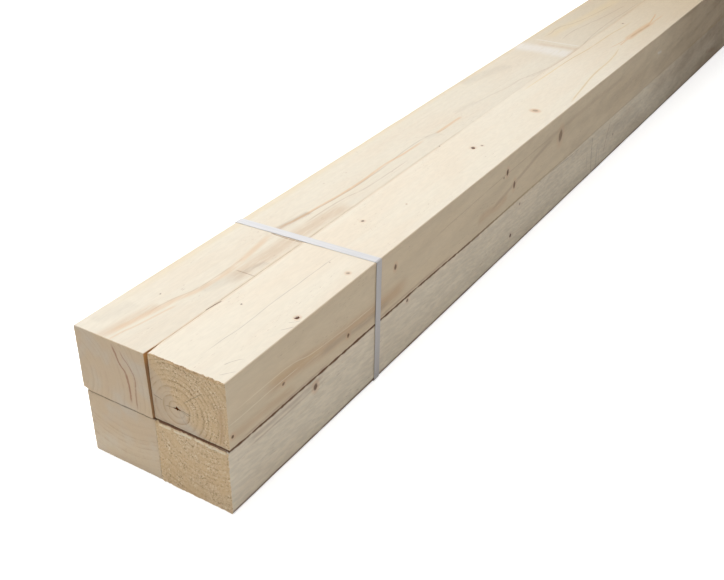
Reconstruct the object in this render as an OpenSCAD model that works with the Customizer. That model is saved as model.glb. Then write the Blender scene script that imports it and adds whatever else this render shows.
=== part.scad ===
// Bundle of four sawn pine studs, two wide and two high, held by narrow plastic straps.
// Millimetres. X runs along the studs, Y across the bundle and Z up from the floor.
// The front ends are at -X. Seen from there, left is +Y. The origin is on the floor, under the
// middle of the bundle.

/* [Studs] */
// Length of each stud
stud_len = 3000; // [1200:10:6000]
// Nominal width of a stud's section, across the bundle
stud_w = 75; // [50:1:150]
// Height of the section
stud_h = 63; // [50:1:150]
// Radius of an arris as the saw leaves it
arris_r = 0.8; // [0.3:0.1:2]
// Radius of an arris that handling has worn round
worn_r = 3; // [1:0.1:6]
// Gap that the rough faces keep between neighbouring studs
stud_gap = 0.4; // [0.1:0.1:0.9]

/* [How far each stud was sawn off its nominal width] */
// Upper left stud
upper_left_over = 1.5; // [-2:0.1:2]
// Upper right stud
upper_right_over = -0.8; // [-2:0.1:2]
// Lower left stud
lower_left_over = -1; // [-2:0.1:2]
// Lower right stud
lower_right_over = -1.2; // [-2:0.1:2]

/* [How far each front end stands out past the upper right one] */
// Upper left stud
upper_left_out = 2.6; // [0:0.1:8]
// Lower left stud
lower_left_out = 1.8; // [0:0.1:8]
// Lower right stud
lower_right_out = 2.6; // [0:0.1:8]

/* [Wear at the front ends] */
// Depth of the snipe on the upper right stud's left face
snipe_depth = 2.6; // [0.5:0.1:6]
// Length over which the snipe runs out
snipe_len = 30; // [20:5:300]
// Width of the flat on the upper left stud's lower left arris
flat_w = 9; // [2:0.5:20]
// Height of that flat
flat_h = 2.5; // [1:0.1:6]
// Length over which the flat runs out
flat_len = 260; // [50:10:800]

/* [Heart of the upper right stud] */
// Distance of the pith from the stud's left face
pith_in = 24; // [15:0.5:35]
// Distance of the pith from the stud's underside
pith_up = 19.5; // [15:0.5:30]
// Length of the longest heart check
check_len = 11; // [4:0.5:18]
// Width of that heart check at its middle
check_w = 1.3; // [0.4:0.1:3]
// Depth of the heart checks from each end
check_depth = 35; // [5:5:200]

/* [Loose knots on the upper right stud] */
// Diameter of a loose knot
knot_d = 6; // [3:0.5:12]
// Depth of the hollow beside a loose knot
knot_depth = 2.5; // [0.5:0.5:6]
// Distance of the first loose knot from the front end
front_knot_x = 102; // [40:1:190]
// Distance of the first loose knot from the stud's right face
front_knot_in = 8; // [5:0.5:40]
// Distance of the second loose knot from the front end
back_knot_x = 478; // [250:1:900]
// Distance of the second loose knot from the stud's right face
back_knot_in = 42; // [5:0.5:45]

/* [Straps] */
// Width of the strap
strap_w = 9; // [5:0.5:19]
// Thickness of the strap
strap_t = 0.6; // [0.4:0.1:1.2]
// Distance of the near strap's middle from the front end
near_strap_x = 212; // [60:1:500]
// Distance of the far strap's middle from the far end
far_strap_x = 212; // [60:1:500]
// Angle at which the near strap runs askew over the bundle
near_skew = 2.5; // [0:0.1:4]
// Angle at which the middle strap runs askew
middle_skew = 0.8; // [0:0.1:4]
// Angle at which the far strap runs askew
far_skew = 1.4; // [0:0.1:4]
// Gap between a strap and the sides of the bundle
strap_ease = 0.1; // [0.05:0.05:0.3]
// Distance of the weld from the upper left arris, where a strap's ends lie over each other
weld_down = 6; // [2:1:14]
// Length of the weld
weld_len = 30; // [15:1:38]
// Length of the loose tail past the weld
tail_len = 12; // [4:1:20]
// How far the tip of the tail stands off
tail_off = 0.8; // [0.2:0.1:2]

/* [Hidden] */
$fn = 64;

PINE = "#E9D8B8";
STRAP = "#EEEEF0";
// What a cut runs past the wood, so that it leaves no skin
past = 5;

upper_left_w = stud_w + upper_left_over;
upper_right_w = stud_w + upper_right_over;
lower_left_w = stud_w + lower_left_over;
lower_right_w = stud_w + lower_right_over;
upper_w = upper_left_w + stud_gap + upper_right_w;
lower_w = lower_left_w + stud_gap + lower_right_w;
bundle_h = 2 * stud_h + stud_gap;
lower_z = strap_t;
upper_z = lower_z + stud_h + stud_gap;

// The far ends follow the front ends, because all four studs have one length
most_out = max(upper_left_out, lower_left_out, lower_right_out);
front_x = (most_out - stud_len) / 2;

// The right faces of both pairs are in line. A strap loop is eased on both sides, so that one
// that runs askew still clears the wood
half_w = max(upper_w, lower_w) / 2;
function ease(skew) = (half_w + strap_w / 2 * sin(skew)) / cos(skew) + strap_ease - half_w;
function reach(skew, layers) = (half_w + ease(skew) + layers) * cos(skew) + strap_w / 2 * sin(skew);
most_skew = max(near_skew, middle_skew, far_skew);
weld_side = reach(most_skew, 2 * strap_t + tail_off);
plain_side = reach(most_skew, strap_t);
// The welds are on the left, so the wood lies a little to the right of the origin
middle_y = (plain_side - weld_side) / 2;
right_y = middle_y - half_w;
upper_left_y = right_y + upper_right_w + stud_gap;
lower_left_y = right_y + lower_right_w + stud_gap;

// What comes off a square corner with its tip at the origin to round it to a radius
module corner_waste(r) {
    difference() {
        translate([-past, -past])
            square(r + past);
        translate([r, r])
            circle(r);
        translate([r, -past])
            square(r + past);
        translate([-past, r])
            square(r + past);
    }
}

// A sawn section with its lower right corner at the origin. The radii go lower right, upper right,
// upper left, lower left
module sawn_section(w, h, radii) {
    difference() {
        square([w, h]);
        corner_waste(radii[0]);
        translate([0, h])
            mirror([0, 1])
                corner_waste(radii[1]);
        translate([w, h])
            rotate(180)
                corner_waste(radii[2]);
        translate([w, 0])
            mirror([1, 0])
                corner_waste(radii[3]);
    }
}

// Carries a section's own x and y to Y and Z, and runs it along X
module along(length) {
    rotate([90, 0, 90])
        linear_extrude(length)
            children();
}

// A stud whose front end stands out, with its right face at y and its underside at z
module stud(out, y, z, w, radii) {
    translate([front_x - out, y, z])
        along(stud_len)
            sawn_section(w, stud_h, radii);
}

// Cut that leaves the snipe: full depth at the front end, nothing at its length
module snipe() {
    translate([front_x, right_y + upper_right_w, upper_z - past])
        linear_extrude(stud_h + 2 * past)
            polygon([[0, -snipe_depth], [snipe_len, 0], [snipe_len, past], [-past, past],
                     [-past, -snipe_depth * (1 + past / snipe_len)]]);
}

// Cut that leaves the long flat on an arris, from full size at the front end to nothing
module arris_flat() {
    turn = atan(flat_h / flat_w);
    fall = atan(flat_h * cos(turn) / flat_len);
    translate([front_x - upper_left_out, upper_left_y + upper_left_w, upper_z + flat_h])
        rotate([turn, 0, 0])
            rotate([0, fall, 0])
                translate([-past, -2 * flat_w, -2 * flat_w])
                    cube([flat_len + 4 * past, 4 * flat_w, 2 * flat_w]);
}

// One split of the heart, pointed at both its sides and cut in from the end at x
module heart_check(x, length, width, angle) {
    translate([x, right_y + upper_right_w - pith_in, upper_z + pith_up])
        along(check_depth + past)
            rotate(angle)
                polygon([[-length / 2, 0], [0, -width / 2], [length / 2, 0], [0, width / 2]]);
}

// The star of splits that the pith has at both ends
module heart_checks() {
    for (x = [front_x - past, front_x + stud_len - check_depth]) {
        heart_check(x, check_len, check_w, 28);
        heart_check(x, check_len * 0.7, check_w * 0.8, -52);
    }
}

// The crescent that is left open beside a shrunken knot
module loose_knot(x, from_right, turn) {
    translate([front_x + x, right_y + from_right, upper_z + stud_h - knot_depth])
        rotate(turn)
            linear_extrude(knot_depth + past)
                difference() {
                    circle(d = knot_d);
                    translate([knot_d / 4, 0])
                        circle(d = knot_d * 0.9);
                }
}

module stud_upper_left() {
    color(PINE)
        difference() {
            stud(upper_left_out, upper_left_y, upper_z, upper_left_w,
                 [arris_r, arris_r, arris_r, arris_r]);
            arris_flat();
        }
}

module stud_upper_right() {
    color(PINE)
        difference() {
            stud(0, right_y, upper_z, upper_right_w, [worn_r / 2, arris_r, arris_r, worn_r]);
            snipe();
            heart_checks();
            loose_knot(front_knot_x, front_knot_in, 60);
            loose_knot(back_knot_x, back_knot_in, 80);
        }
}

module stud_lower_left() {
    color(PINE)
        stud(lower_left_out, lower_left_y, lower_z, lower_left_w,
             [arris_r, arris_r, arris_r, arris_r]);
}

module stud_lower_right() {
    color(PINE)
        stud(lower_right_out, right_y, lower_z, lower_right_w,
             [arris_r, worn_r / 2, worn_r / 2, arris_r]);
}

// The middles of the bends of a taut strap, round the bundle from its lower right arris. On the
// left the strap spans from the wider pair to the narrower one
function bends(skew) =
    let (right = -half_w - ease(skew) + arris_r,
         upper_left = right + upper_w + 2 * ease(skew) - 2 * arris_r,
         lower_left = right + lower_w + 2 * ease(skew) - 2 * arris_r,
         knee = upper_left >= lower_left ? [upper_left, upper_z + arris_r]
                                         : [lower_left, lower_z + stud_h - arris_r])
    [[right, lower_z + arris_r], [lower_left, lower_z + arris_r], knee,
     [upper_left, upper_z + stud_h - arris_r], [right, upper_z + stud_h - arris_r]];

// The point at distance r from the middle a, square to the side that runs from a to b
function abreast(a, b, r) = a + r * [b[1] - a[1], a[0] - b[0]] / norm(b - a);

// A taut outline at distance r from the middles of its bends
module taut_outline(middles, r) {
    n = len(middles);
    polygon([for (i = [0 : n - 1], side = [0, 1])
        let (a = middles[i], b = middles[(i + 1) % n])
        side == 0 ? abreast(a, b, r) : abreast(b, a, -r)]);
    for (middle = middles)
        translate(middle)
            circle(r);
}

// The second layer of the weld and the tail that springs off it, on the upper left side
module weld(middles) {
    top = middles[3];
    knee = middles[2];
    weld_end = weld_down + weld_len;
    tip = weld_end + tail_len;
    outer = arris_r + strap_t;
    translate(top)
        rotate(atan2(knee[1] - top[1], knee[0] - top[0]))
            polygon([[weld_down, outer - strap_t / 2], [weld_down, outer + strap_t],
                     [weld_end, outer + strap_t], [tip, outer + strap_t + tail_off],
                     [tip, outer + tail_off], [weld_end, outer], [weld_end, outer - strap_t / 2]]);
}

// A closed strap loop with its middle at x
module strap(x, skew) {
    translate([x, middle_y, 0])
        rotate(skew)
            translate([-strap_w / 2, 0, 0]) {
                along(strap_w)
                    difference() {
                        taut_outline(bends(skew), arris_r + strap_t);
                        taut_outline(bends(skew), arris_r);
                    }
                along(strap_w)
                    weld(bends(skew));
            }
}

module strap_near() {
    color(STRAP)
        strap(front_x + near_strap_x, near_skew);
}

module strap_middle() {
    color(STRAP)
        strap(0, middle_skew);
}

module strap_far() {
    color(STRAP)
        strap(front_x + stud_len - far_strap_x, far_skew);
}

stud_upper_left();
stud_upper_right();
stud_lower_left();
stud_lower_right();
strap_near();
strap_middle();
strap_far();
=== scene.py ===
import math
from typing import NamedTuple

import bmesh
import bpy
import numpy as np
from mathutils import Matrix, Vector, noise


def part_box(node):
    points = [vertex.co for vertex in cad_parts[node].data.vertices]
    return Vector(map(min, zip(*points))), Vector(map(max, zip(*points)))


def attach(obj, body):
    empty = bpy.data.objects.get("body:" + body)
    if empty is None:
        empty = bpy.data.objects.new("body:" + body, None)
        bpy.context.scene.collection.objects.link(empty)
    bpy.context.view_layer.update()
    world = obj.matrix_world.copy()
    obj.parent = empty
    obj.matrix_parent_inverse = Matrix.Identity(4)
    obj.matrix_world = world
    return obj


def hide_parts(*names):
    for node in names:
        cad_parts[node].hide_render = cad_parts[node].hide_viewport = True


bl_info = {
    "name": "Bundle of pine studs",
    "version": (1, 0, 0),
    "blender": (4, 5, 0),
    "location": "View3D > Sidebar > Pine studs",
    "description": "Dresses the packed bundle of sawn pine studs and its plastic straps",
    "category": "Object",
}

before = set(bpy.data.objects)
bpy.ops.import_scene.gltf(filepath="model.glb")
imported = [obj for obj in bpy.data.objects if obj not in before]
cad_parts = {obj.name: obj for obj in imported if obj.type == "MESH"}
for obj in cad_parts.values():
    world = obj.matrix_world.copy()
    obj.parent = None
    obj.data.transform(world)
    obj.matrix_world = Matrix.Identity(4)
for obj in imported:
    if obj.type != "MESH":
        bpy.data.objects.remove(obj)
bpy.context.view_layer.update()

MM = 0.001
STUDS = ("stud_upper_left", "stud_upper_right", "stud_lower_left", "stud_lower_right")
STRAPS = ("strap_near", "strap_middle", "strap_far")

# The row's own places, in millimetres. Marks are given from the upper right stud's front end
FRONT_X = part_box("stud_upper_right")[0].x / MM
RIGHT_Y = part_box("stud_upper_right")[0].y / MM
TOP_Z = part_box("stud_upper_right")[1].z / MM
# The seams between the studs: the level one, and the upright one of the upper pair, which the photo shows
# a little further left than the solids have it
SEAM_SHIFT = 1.2
SEAM_Z = (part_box("stud_upper_right")[0].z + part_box("stud_lower_right")[1].z) / 2 / MM
SEAM_Y = (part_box("stud_upper_left")[0].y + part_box("stud_upper_right")[1].y) / 2 / MM + SEAM_SHIFT
# How much lower than the solids' the level seam runs on the right side, by the distance from the front end
SEAM_DROP = ((0, 0.2), (20, 1.2), (300, 1.5), (400, 3.0), (520, 2.5), (630, 3.3), (900, 3.0), (1300, 0.0))
# It is open at the front, and closed from the second of these distances on
SEAM_OPEN, SEAM_CLOSED = 330, 620
SEAM_LOWEST = max(drop for _, drop in SEAM_DROP)


def linear(code):
    """Turns an sRGB hex colour into linear red, green and blue."""
    parts = [int(code[i : i + 2], 16) / 255 for i in (1, 3, 5)]
    return tuple(c / 12.92 if c <= 0.04045 else ((c + 0.055) / 1.055) ** 2.4 for c in parts)


class Knot(NamedTuple):
    """A knot's middle on the face, its radius, how much taller than long it is, and its core and halo."""

    x: float
    y: float
    z: float
    radius: float
    tall: float
    core: float
    halo: float


class Streak(NamedTuple):
    """A mark on one face: its course along one axis and across another, in millimetres."""

    face: str
    tint: str
    strength: float
    half_width: float
    course: tuple


class Wood(NamedTuple):
    """How one stud was cut from its log, and the marks that its faces show. All in millimetres."""

    # The pith's place at the front end, and how far it drifts sideways over each millimetre of length
    pith_y: float
    pith_z: float
    drift: float
    # The width of a year ring, and how plainly the rings show on the long faces and on the ends
    ring: float
    face_lines: float
    end_lines: float
    # Heights between which the rings fade out on the ends
    lines_fade: tuple
    # The side of the pith on which the saw tore the end, as a direction and an offset. Without a direction,
    # the offset's sign says whether the whole end is torn
    rough: tuple
    # How much painted shade tans the right face, and how woolly the saw left the faces
    tan: float
    woolly: float
    # How far the front end's top edge is chipped
    chipped: float
    # How light the long faces are beside the others'
    level: float
    # Radii of the arrises: lower right, upper right, upper left, lower left
    radii: tuple
    knots: tuple
    streaks: tuple


# How deep behind its outermost plane a long face and an end still count as that face, in millimetres
LONG_DEPTH, END_DEPTH = 1.2, 4
# How far under and over that depth a face fades in
FACE_FADE = (0.5, 0.2)
# The axis that a streak runs along, the one that it is placed by, and the axis, depth and side of its face
FACES = {
    "top": ("X", "Y", "Z", TOP_Z - LONG_DEPTH, 1),
    "top_across": ("Y", "X", "Z", TOP_Z - LONG_DEPTH, 1),
    "right": ("X", "Z", "Y", RIGHT_Y + LONG_DEPTH, -1),
    "right_upright": ("Z", "X", "Y", RIGHT_Y + LONG_DEPTH, -1),
    "front": ("Z", "Y", "X", FRONT_X + END_DEPTH, -1),
    "front_level": ("Y", "Z", "X", FRONT_X + END_DEPTH, -1),
}
LONG_FACES = ("top", "top_across", "right", "right_upright")
END_FACES = ("front", "front_level")

# The line that wanders along the upper pair's seam further back shows on both studs
SEAM_LINE = ((653, 18.9), (702, 12.7), (744, 3.9), (788, -1.6), (852, -2.0), (919, 3.7), (993, 5.6),
             (1050, 4.1), (1125, 4.7))

WOODS = {
    "stud_upper_left": Wood(
        pith_y=92, pith_z=82, drift=-0.03, ring=5.2, face_lines=0.15, end_lines=0.3, lines_fade=(130, 140),
        rough=(0, 0, -1.0), tan=0.0, woolly=0.3, chipped=0.1, level=0.93, radii=(0.8, 0.8, 0.8, 0.8),
        knots=(
            Knot(70, 48, TOP_Z, 0.9, 1.0, 0.75, 0.1),
            Knot(318, 52, TOP_Z, 0.8, 1.0, 0.35, 0.1),
            Knot(352, 47, TOP_Z, 0.8, 1.0, 0.3, 0.1),
        ),
        streaks=(
            Streak("top_across", "chalk", 0.5, 19, (
                (-8, 822), (6, 822), (28, 822), (45, 822), (62, 819), (80, 822))),
            Streak("top_across", "stain", 0.25, 6, ((-6, 849), (6, 847), (24, 845), (45, 841), (54, 841))),
            Streak("top_across", "chalk", 0.4, 2.2, ((-4, 862), (10, 861), (30, 859), (52, 858), (66, 857))),
            Streak("top_across", "brown", 0.6, 0.7, ((-2, 135.4), (6, 135.5), (17, 135.2), (20, 134))),
            Streak("top", "honey", 0.3, 6, ((-10, 71), (150, 71), (420, 72), (800, 73), (1150, 73))),
            Streak("top", "honey", 0.35, 10, ((865, 48), (900, 52), (960, 46), (1040, 40), (1120, 38))),
            Streak("top", "stain", 0.3, 6, ((-8, 47), (8, 45), (20, 44), (48, 39), (60, 36))),
            Streak("top", "stain", 0.4, 10, ((110, 14), (140, 13), (180, 12), (230, 11), (262, 9), (300, 5))),
            Streak("top", "grey", 0.25, 4, ((130, 13), (138, 11), (150, 8), (162, 5))),
            Streak("top", "grey", 0.14, 8, ((90, 24), (104, 20), (122, 13), (136, 12))),
            Streak("top", "grey", 0.12, 5, ((470, 24), (480, 21), (489, 16), (496, 13))),
            Streak("top", "grey", 0.15, 10, ((640, 74), (662, 66), (700, 58), (745, 46))),
            Streak("top", "grey", 0.1, 5, ((556, 30), (575, 28), (604, 26))),
            Streak("top", "grey", 0.12, 9, ((8, 66), (20, 63), (36, 58), (50, 56))),
            Streak("top", "resin", 0.34, 3.6, (
                (-6, 43), (10, 41.5), (28, 38.4), (42, 36), (56, 33.7), (71, 31.2), (84, 27.5), (93, 25.5),
                (120, 24), (150, 26), (182, 30), (212, 34))),
            Streak("top", "resin", 0.3, 1.3, ((-6, 37), (10, 35), (22, 32), (37, 29.4), (66, 25))),
            Streak("top", "brown", 0.25, 0.6, ((40, 37.8), (71, 33.6), (92, 28), (122, 26.4), (160, 28))),
            Streak("top", "resin", 0.5, 1.8, (
                (200, 34), (219, 33.3), (234, 31), (251, 29), (276, 27), (307, 24.1), (345, 22.7),
                (388, 23.9), (431, 21.3), (475, 21))),
            Streak("top", "brown", 0.35, 4, ((206, 36), (219, 33.5), (240, 31), (262, 28))),
            Streak("top", "brown", 0.4, 0.7, (
                (236, 29.3), (264, 26.9), (300, 23.4), (334, 21.6), (400, 21.4))),
            Streak("top", "brown", 0.35, 0.6, ((236, 19.3), (264, 18.9), (300, 16.7), (334, 11.3), (420, 9))),
            Streak("top", "brown", 0.35, 0.6, ((400, 22), (440, 25), (470, 24), (500, 18), (520, 16))),
            Streak("top", "resin", 0.45, 2.4, ((490, 19), (506, 18.8), (534, 18.4), (552, 18))),
            Streak("top", "brown", 0.16, 1.2, (
                (586, 26.5), (620, 21.5), (650, 17.2), (675, 13.9), (695, 13.6), (731, 3.5), (775, 1))),
            Streak("top", "brown", 0.25, 1.0, SEAM_LINE),
            Streak("top", "crack", 0.5, 0.6, ((815, -1.4), (835, -1.3), (858, -1.4))),
            Streak("top", "resin", 0.6, 0.6, ((-8, 0.2), (8, 0.0), (24, -0.3), (48, -0.6), (70, -0.7))),
            Streak("top", "brown", 0.3, 0.4, ((-4, 0.1), (12, -0.2), (30, -0.5), (44, -0.6))),
            Streak("top_across", "brown", 0.7, 0.8, ((-2, 206.3), (8, 205.4), (17, 204.8), (36, 206))),
            # Painted shade in the top of the upper pair's seam
            Streak("top", "crack", 0.8, 0.5, ((70, -0.2), (76, -0.5), (83, -1.0), (90, -1.8))),
            Streak("top", "brown", 0.3, 0.9, (
                (868, 62), (890, 56), (915, 58), (956, 47), (1010, 39), (1080, 33))),
            Streak("top", "brown", 0.3, 0.8, ((870, 30), (905, 34), (950, 30), (1010, 22), (1090, 16))),
            # Painted shade: the dark line of the level seam at the end
            Streak("front_level", "crack", 0.5, 0.6, (
                (-8, 64.2), (20, 64.3), (45, 64.2), (70, 64.4), (84, 64.2))),
            Streak("front", "heartwood", 0.75, 1.3, (
                (70, 21), (83.4, 20.5), (97.4, 22.3), (107.6, 28.4), (117.6, 32.2), (125, 35))),
            Streak("front", "heartwood", 0.55, 1.0, (
                (66, 14.5), (74.3, 14.8), (81.6, 14.6), (95.5, 13.4), (105.8, 16.8), (115.5, 24.1),
                (122, 27))),
        ),
    ),
    "stud_upper_right": Wood(
        pith_y=-26.05, pith_z=83.5, drift=-0.012, ring=4.5, face_lines=0.08, end_lines=0.8,
        lines_fade=(130, 140), rough=(-0.75, 0.66, -4), tan=0.58, woolly=0.3, chipped=0.5, level=1.0,
        radii=(0.6, 0.8, 1.5, 0.6),
        knots=(
            Knot(102, -69.1, TOP_Z, 2.1, 1.0, 0.85, 0.4),
            Knot(183, -65, TOP_Z, 1.9, 1.0, 0.5, 0.4),
            Knot(271, -24.1, TOP_Z, 1.9, 1.0, 0.8, 0.25),
            Knot(479, -33.7, TOP_Z, 2.6, 1.0, 0.95, 0.3),
            Knot(489.5, -39.3, TOP_Z, 1.6, 1.0, 0.6, 0.3),
            Knot(614, -45.8, TOP_Z, 3.2, 1.3, 0.45, 0.55),
            Knot(94, -18.7, TOP_Z, 1.1, 1.0, 0.8, 0.1),
            Knot(190, -41.3, TOP_Z, 0.7, 1.0, 0.5, 0.1),
            Knot(324, -41, TOP_Z, 0.8, 1.0, 0.5, 0.4),
            Knot(463, -0.7, TOP_Z, 1.0, 1.0, 0.9, 0.1),
            Knot(992, -13, TOP_Z, 1.8, 1.0, 0.6, 0.3),
            Knot(5, RIGHT_Y, 74.7, 1.8, 1.1, 0.9, 0.3),
            Knot(71, RIGHT_Y, 83.2, 1.9, 1.0, 0.75, 0.35),
            Knot(166, RIGHT_Y, 75.8, 2.0, 1.3, 0.85, 0.35),
            Knot(245, RIGHT_Y, 106, 2.2, 1.6, 0.85, 0.35),
            Knot(480, RIGHT_Y, 108, 2.6, 1.8, 0.95, 0.3),
            Knot(500.7, RIGHT_Y, 85, 2.6, 2.2, 0.8, 0.3),
            Knot(471.8, RIGHT_Y, 104.5, 1.2, 1.2, 0.8, 0.2),
            Knot(625, RIGHT_Y, 98.5, 5.5, 1.7, 0.65, 0.25),
        ),
        streaks=(
            Streak("top", "crack", 0.28, 0.45, (
                (20, -38), (42, -38.2), (77, -39.5), (112, -38.5), (150, -39.5), (205, -40))),
            Streak("top", "resin", 0.55, 5.5, (
                (922, -43.5), (945, -43.8), (975.7, -44.5), (1000, -46), (1026, -47))),
            Streak("top", "brown", 0.3, 2.0, ((935, -44.5), (958, -45), (985, -46.5), (1012, -48))),
            Streak("top", "resin", 0.7, 1.2, ((1005, -46), (1030, -43), (1050, -40), (1066, -37))),
            Streak("top", "resin", 0.6, 1.0, ((895, -44.5), (918, -44.3), (940, -44.2))),
            Streak("top", "resin", 0.55, 0.9, (
                (872, -34), (905, -41), (952, -44.1), (1009, -47), (1070, -49))),
            Streak("top", "honey", 0.6, 1.6, (
                (655, -72), (717, -63.4), (775, -57.2), (832, -55.1), (890, -45.7))),
            Streak("top", "brown", 0.18, 0.8, (
                (655, -72), (717, -63.4), (775, -57.2), (832, -55.1), (890, -45.7))),
            Streak("top", "honey", 0.8, 1.1, (
                (660, -6), (724, -8), (792.9, -9.4), (867.2, -14.6), (932.9, -16.1), (974.8, -19.4),
                (1020, -21))),
            Streak("top", "brown", 0.3, 0.6, (
                (760, -8.6), (792.9, -9.4), (867.2, -14.6), (932.9, -16.1), (974.8, -19.4), (1010, -21))),
            Streak("top", "brown", 0.25, 1.0, SEAM_LINE),
            # Painted shade in the top of the upper pair's seam
            Streak("top", "crack", 0.8, 0.6, ((70, -0.2), (76, -0.6), (83, -1.2), (90, -2.0))),
            Streak("top", "crack", 0.35, 0.5, ((19, -60), (25, -62.2), (34, -68.3))),
            Streak("top", "crack", 0.3, 0.5, ((7, -65), (12, -69), (18, -73.5))),
            Streak("top", "crack", 0.35, 0.5, ((80, -68), (85, -71.5), (90, -74.4))),
            Streak("top", "crack", 0.35, 0.5, ((92, -67), (96, -71), (100, -74.2))),
            Streak("right", "stain", 0.6, 9, (
                (40, 90), (90, 88), (130, 83), (170, 81), (215, 78), (275, 80))),
            Streak("right", "stain", 0.4, 5, ((-4, 75), (20, 74), (50, 73), (90, 70))),
            Streak("right", "honey", 0.45, 4, ((50, 94), (75, 92), (100, 88), (130, 86))),
            Streak("right", "grey", 0.3, 4, ((120, 80), (150, 79), (175, 76), (205, 74), (240, 76))),
            # Painted highlights along raised fibres
            Streak("right", "ridge", 0.6, 0.6, (
                (6, 96.2), (26, 96), (73, 95.9), (111, 88.9), (145, 86.6), (174, 84.6), (218, 84.2))),
            Streak("right", "ridge", 0.7, 0.6, ((-3, 88.2), (15, 86.5), (40, 87.1), (63, 87.3), (96, 86.3))),
            Streak("right", "brown", 0.18, 3.5, ((560, 104), (697, 108), (758, 107.4), (850, 106.6))),
            Streak("right", "brown", 0.28, 3, ((440, 76), (486, 84), (530, 92), (570, 99), (610, 103))),
            Streak("right", "stain", 0.4, 6, ((412, 76), (436, 78), (460, 75.5), (488, 82))),
            Streak("right", "brown", 0.28, 0.7, (
                (300, 101.5), (400, 104.5), (471, 106.3), (606, 107.3), (680, 108))),
            Streak("right", "chalk", 0.5, 2.4, ((970, 101), (978, 99), (990, 98))),
            Streak("right", "chalk", 0.4, 0.9, ((972, 92), (978, 97), (986, 105))),
            # Brown smudges beside the level seam, darkening the lower arris as painted shade
            Streak("right", "brown", 0.35, 1.5, ((12, 65.2), (40, 65.4), (90, 65), (140, 64.8))),
            Streak("right", "brown", 0.3, 1.8, ((210, 65), (260, 65.6), (310, 65), (360, 64.6))),
            Streak("front", "stain", 0.55, 2.6, ((66, -68), (76, -69.5), (90, -70), (104, -68.5))),
            Streak("front", "grey", 0.12, 9, ((62, -10), (72, -10), (84, -12), (94, -12))),
            Streak("front_level", "resin", 0.25, 1.1, ((-78, 125.8), (-50, 125.2), (-25, 125.8), (0, 125.4))),
            Streak("front_level", "brown", 0.5, 0.6, ((-74, 126.5), (-45, 126.2), (-30, 126.5), (-4, 126.3))),
            # Painted highlights: a light rim along the end's lower edge and along its left edge
            Streak("front_level", "ridge", 0.4, 0.6, ((-84, 64.8), (-40, 65), (4, 64.8))),
            Streak("front", "ridge", 0.4, 0.6, (
                (58, -1.8), (80, -1.3), (96, -1.2), (110, -1.4), (134, -1.8))),
            Streak("front_level", "crack", 0.5, 0.5, (
                (-41, 81.8), (-33, 83), (-26, 83.5), (-20, 82.8), (-13, 81.5))),
            Streak("front_level", "crack", 0.55, 0.4, ((-54.2, 109.7), (-44, 101), (-32.7, 91.1))),
            Streak("front_level", "crack", 0.6, 0.4, ((-12.7, 85.7), (-7, 86.8), (-1.7, 88.1))),
            Streak("front_level", "crack", 0.45, 0.3, ((-38, 80.5), (-32, 82), (-27, 83.3))),
            Streak("front_level", "crack", 0.4, 0.3, ((-35, 70), (-31, 75), (-27, 81))),
        ),
    ),
    "stud_lower_left": Wood(
        pith_y=30, pith_z=118, drift=0.01, ring=5.6, face_lines=0.35, end_lines=0.65, lines_fade=(30, 48),
        rough=(0, 0, -1.0), tan=0.0, woolly=0.5, chipped=0.2, level=0.97, radii=(0.8, 0.8, 0.8, 0.8),
        knots=(
            Knot(410, 71.95, 30, 2.6, 1.5, 0.6, 0.4),
            Knot(1620, 71.95, 41, 3.0, 1.3, 0.7, 0.4),
        ),
        streaks=(
            # Painted light: a paler band over the foot of the end
            Streak("front_level", "ridge", 0.24, 22, ((-20, 12), (20, 14), (60, 11), (100, 12))),
            # Painted shade: the dark line of the level seam at the end
            Streak("front_level", "crack", 0.55, 0.7, (
                (-8, 63.3), (20, 63.4), (45, 63.2), (70, 63.4), (84, 63.3))),
        ),
    ),
    "stud_lower_right": Wood(
        pith_y=-56, pith_z=84, drift=0.015, ring=5.6, face_lines=0.3, end_lines=0.42, lines_fade=(36, 60),
        rough=(0, 0, 1.0), tan=0.2, woolly=1.0, chipped=3.6, level=0.98, radii=(0.8, 2.0, 0.6, 0.8),
        knots=(
            Knot(115, RIGHT_Y, 52.4, 3.0, 1.4, 0.85, 0.4),
            Knot(269, RIGHT_Y, 57.5, 2.0, 1.2, 0.8, 0.3),
            Knot(521, RIGHT_Y, 53, 1.5, 1.2, 0.6, 0.2),
            Knot(502, RIGHT_Y, 20.9, 2.3, 1.3, 0.95, 0.15),
            Knot(820, RIGHT_Y, 30.9, 1.8, 1.2, 0.5, 0.15),
        ),
        streaks=(
            # Painted highlights on the chipped bevel of the end's top edge
            Streak("front_level", "ridge", 0.95, 1.3, ((-76, 60.9), (-68, 61.4), (-60, 61.1), (-52, 61.3))),
            Streak("front_level", "ridge", 0.85, 1.2, ((-53, 61.2), (-47, 61.6), (-42, 61.3))),
            Streak("front_level", "ridge", 0.95, 1.3, ((-41, 61.1), (-34, 61.5), (-27, 61.2), (-21, 61.4))),
            Streak("front_level", "ridge", 0.85, 1.2, ((-20, 61.4), (-13, 61.2), (-6, 61.3))),
            Streak("front_level", "heartwood", 0.8, 0.8, ((-65, 61.4), (-62.5, 61.8), (-60, 61.4))),
            # Painted shade: the dark line of the level seam at the end
            Streak("front_level", "crack", 0.8, 0.8, ((-16, 63.5), (-10, 63.6), (-4, 63.5), (4, 63.5))),
            # Painted shade along the foot of the right side, where the stud meets the floor
            Streak("right", "crack", 0.95, 2.4, (
                (-150, 1.2), (200, 1.4), (600, 1.4), (1000, 1.4), (1700, 1.4))),
            Streak("right", "crack", 0.35, 0.7, ((600, 58.5), (630, 58), (654, 57), (700, 55))),
            Streak("right_upright", "crack", 0.7, 0.6, (
                (0, 748), (12, 746.5), (29.6, 743), (51.9, 740.6), (58, 740))),
            Streak("right_upright", "crack", 0.4, 0.7, ((0, 764), (14, 763.5), (29, 763), (40, 761))),
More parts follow.
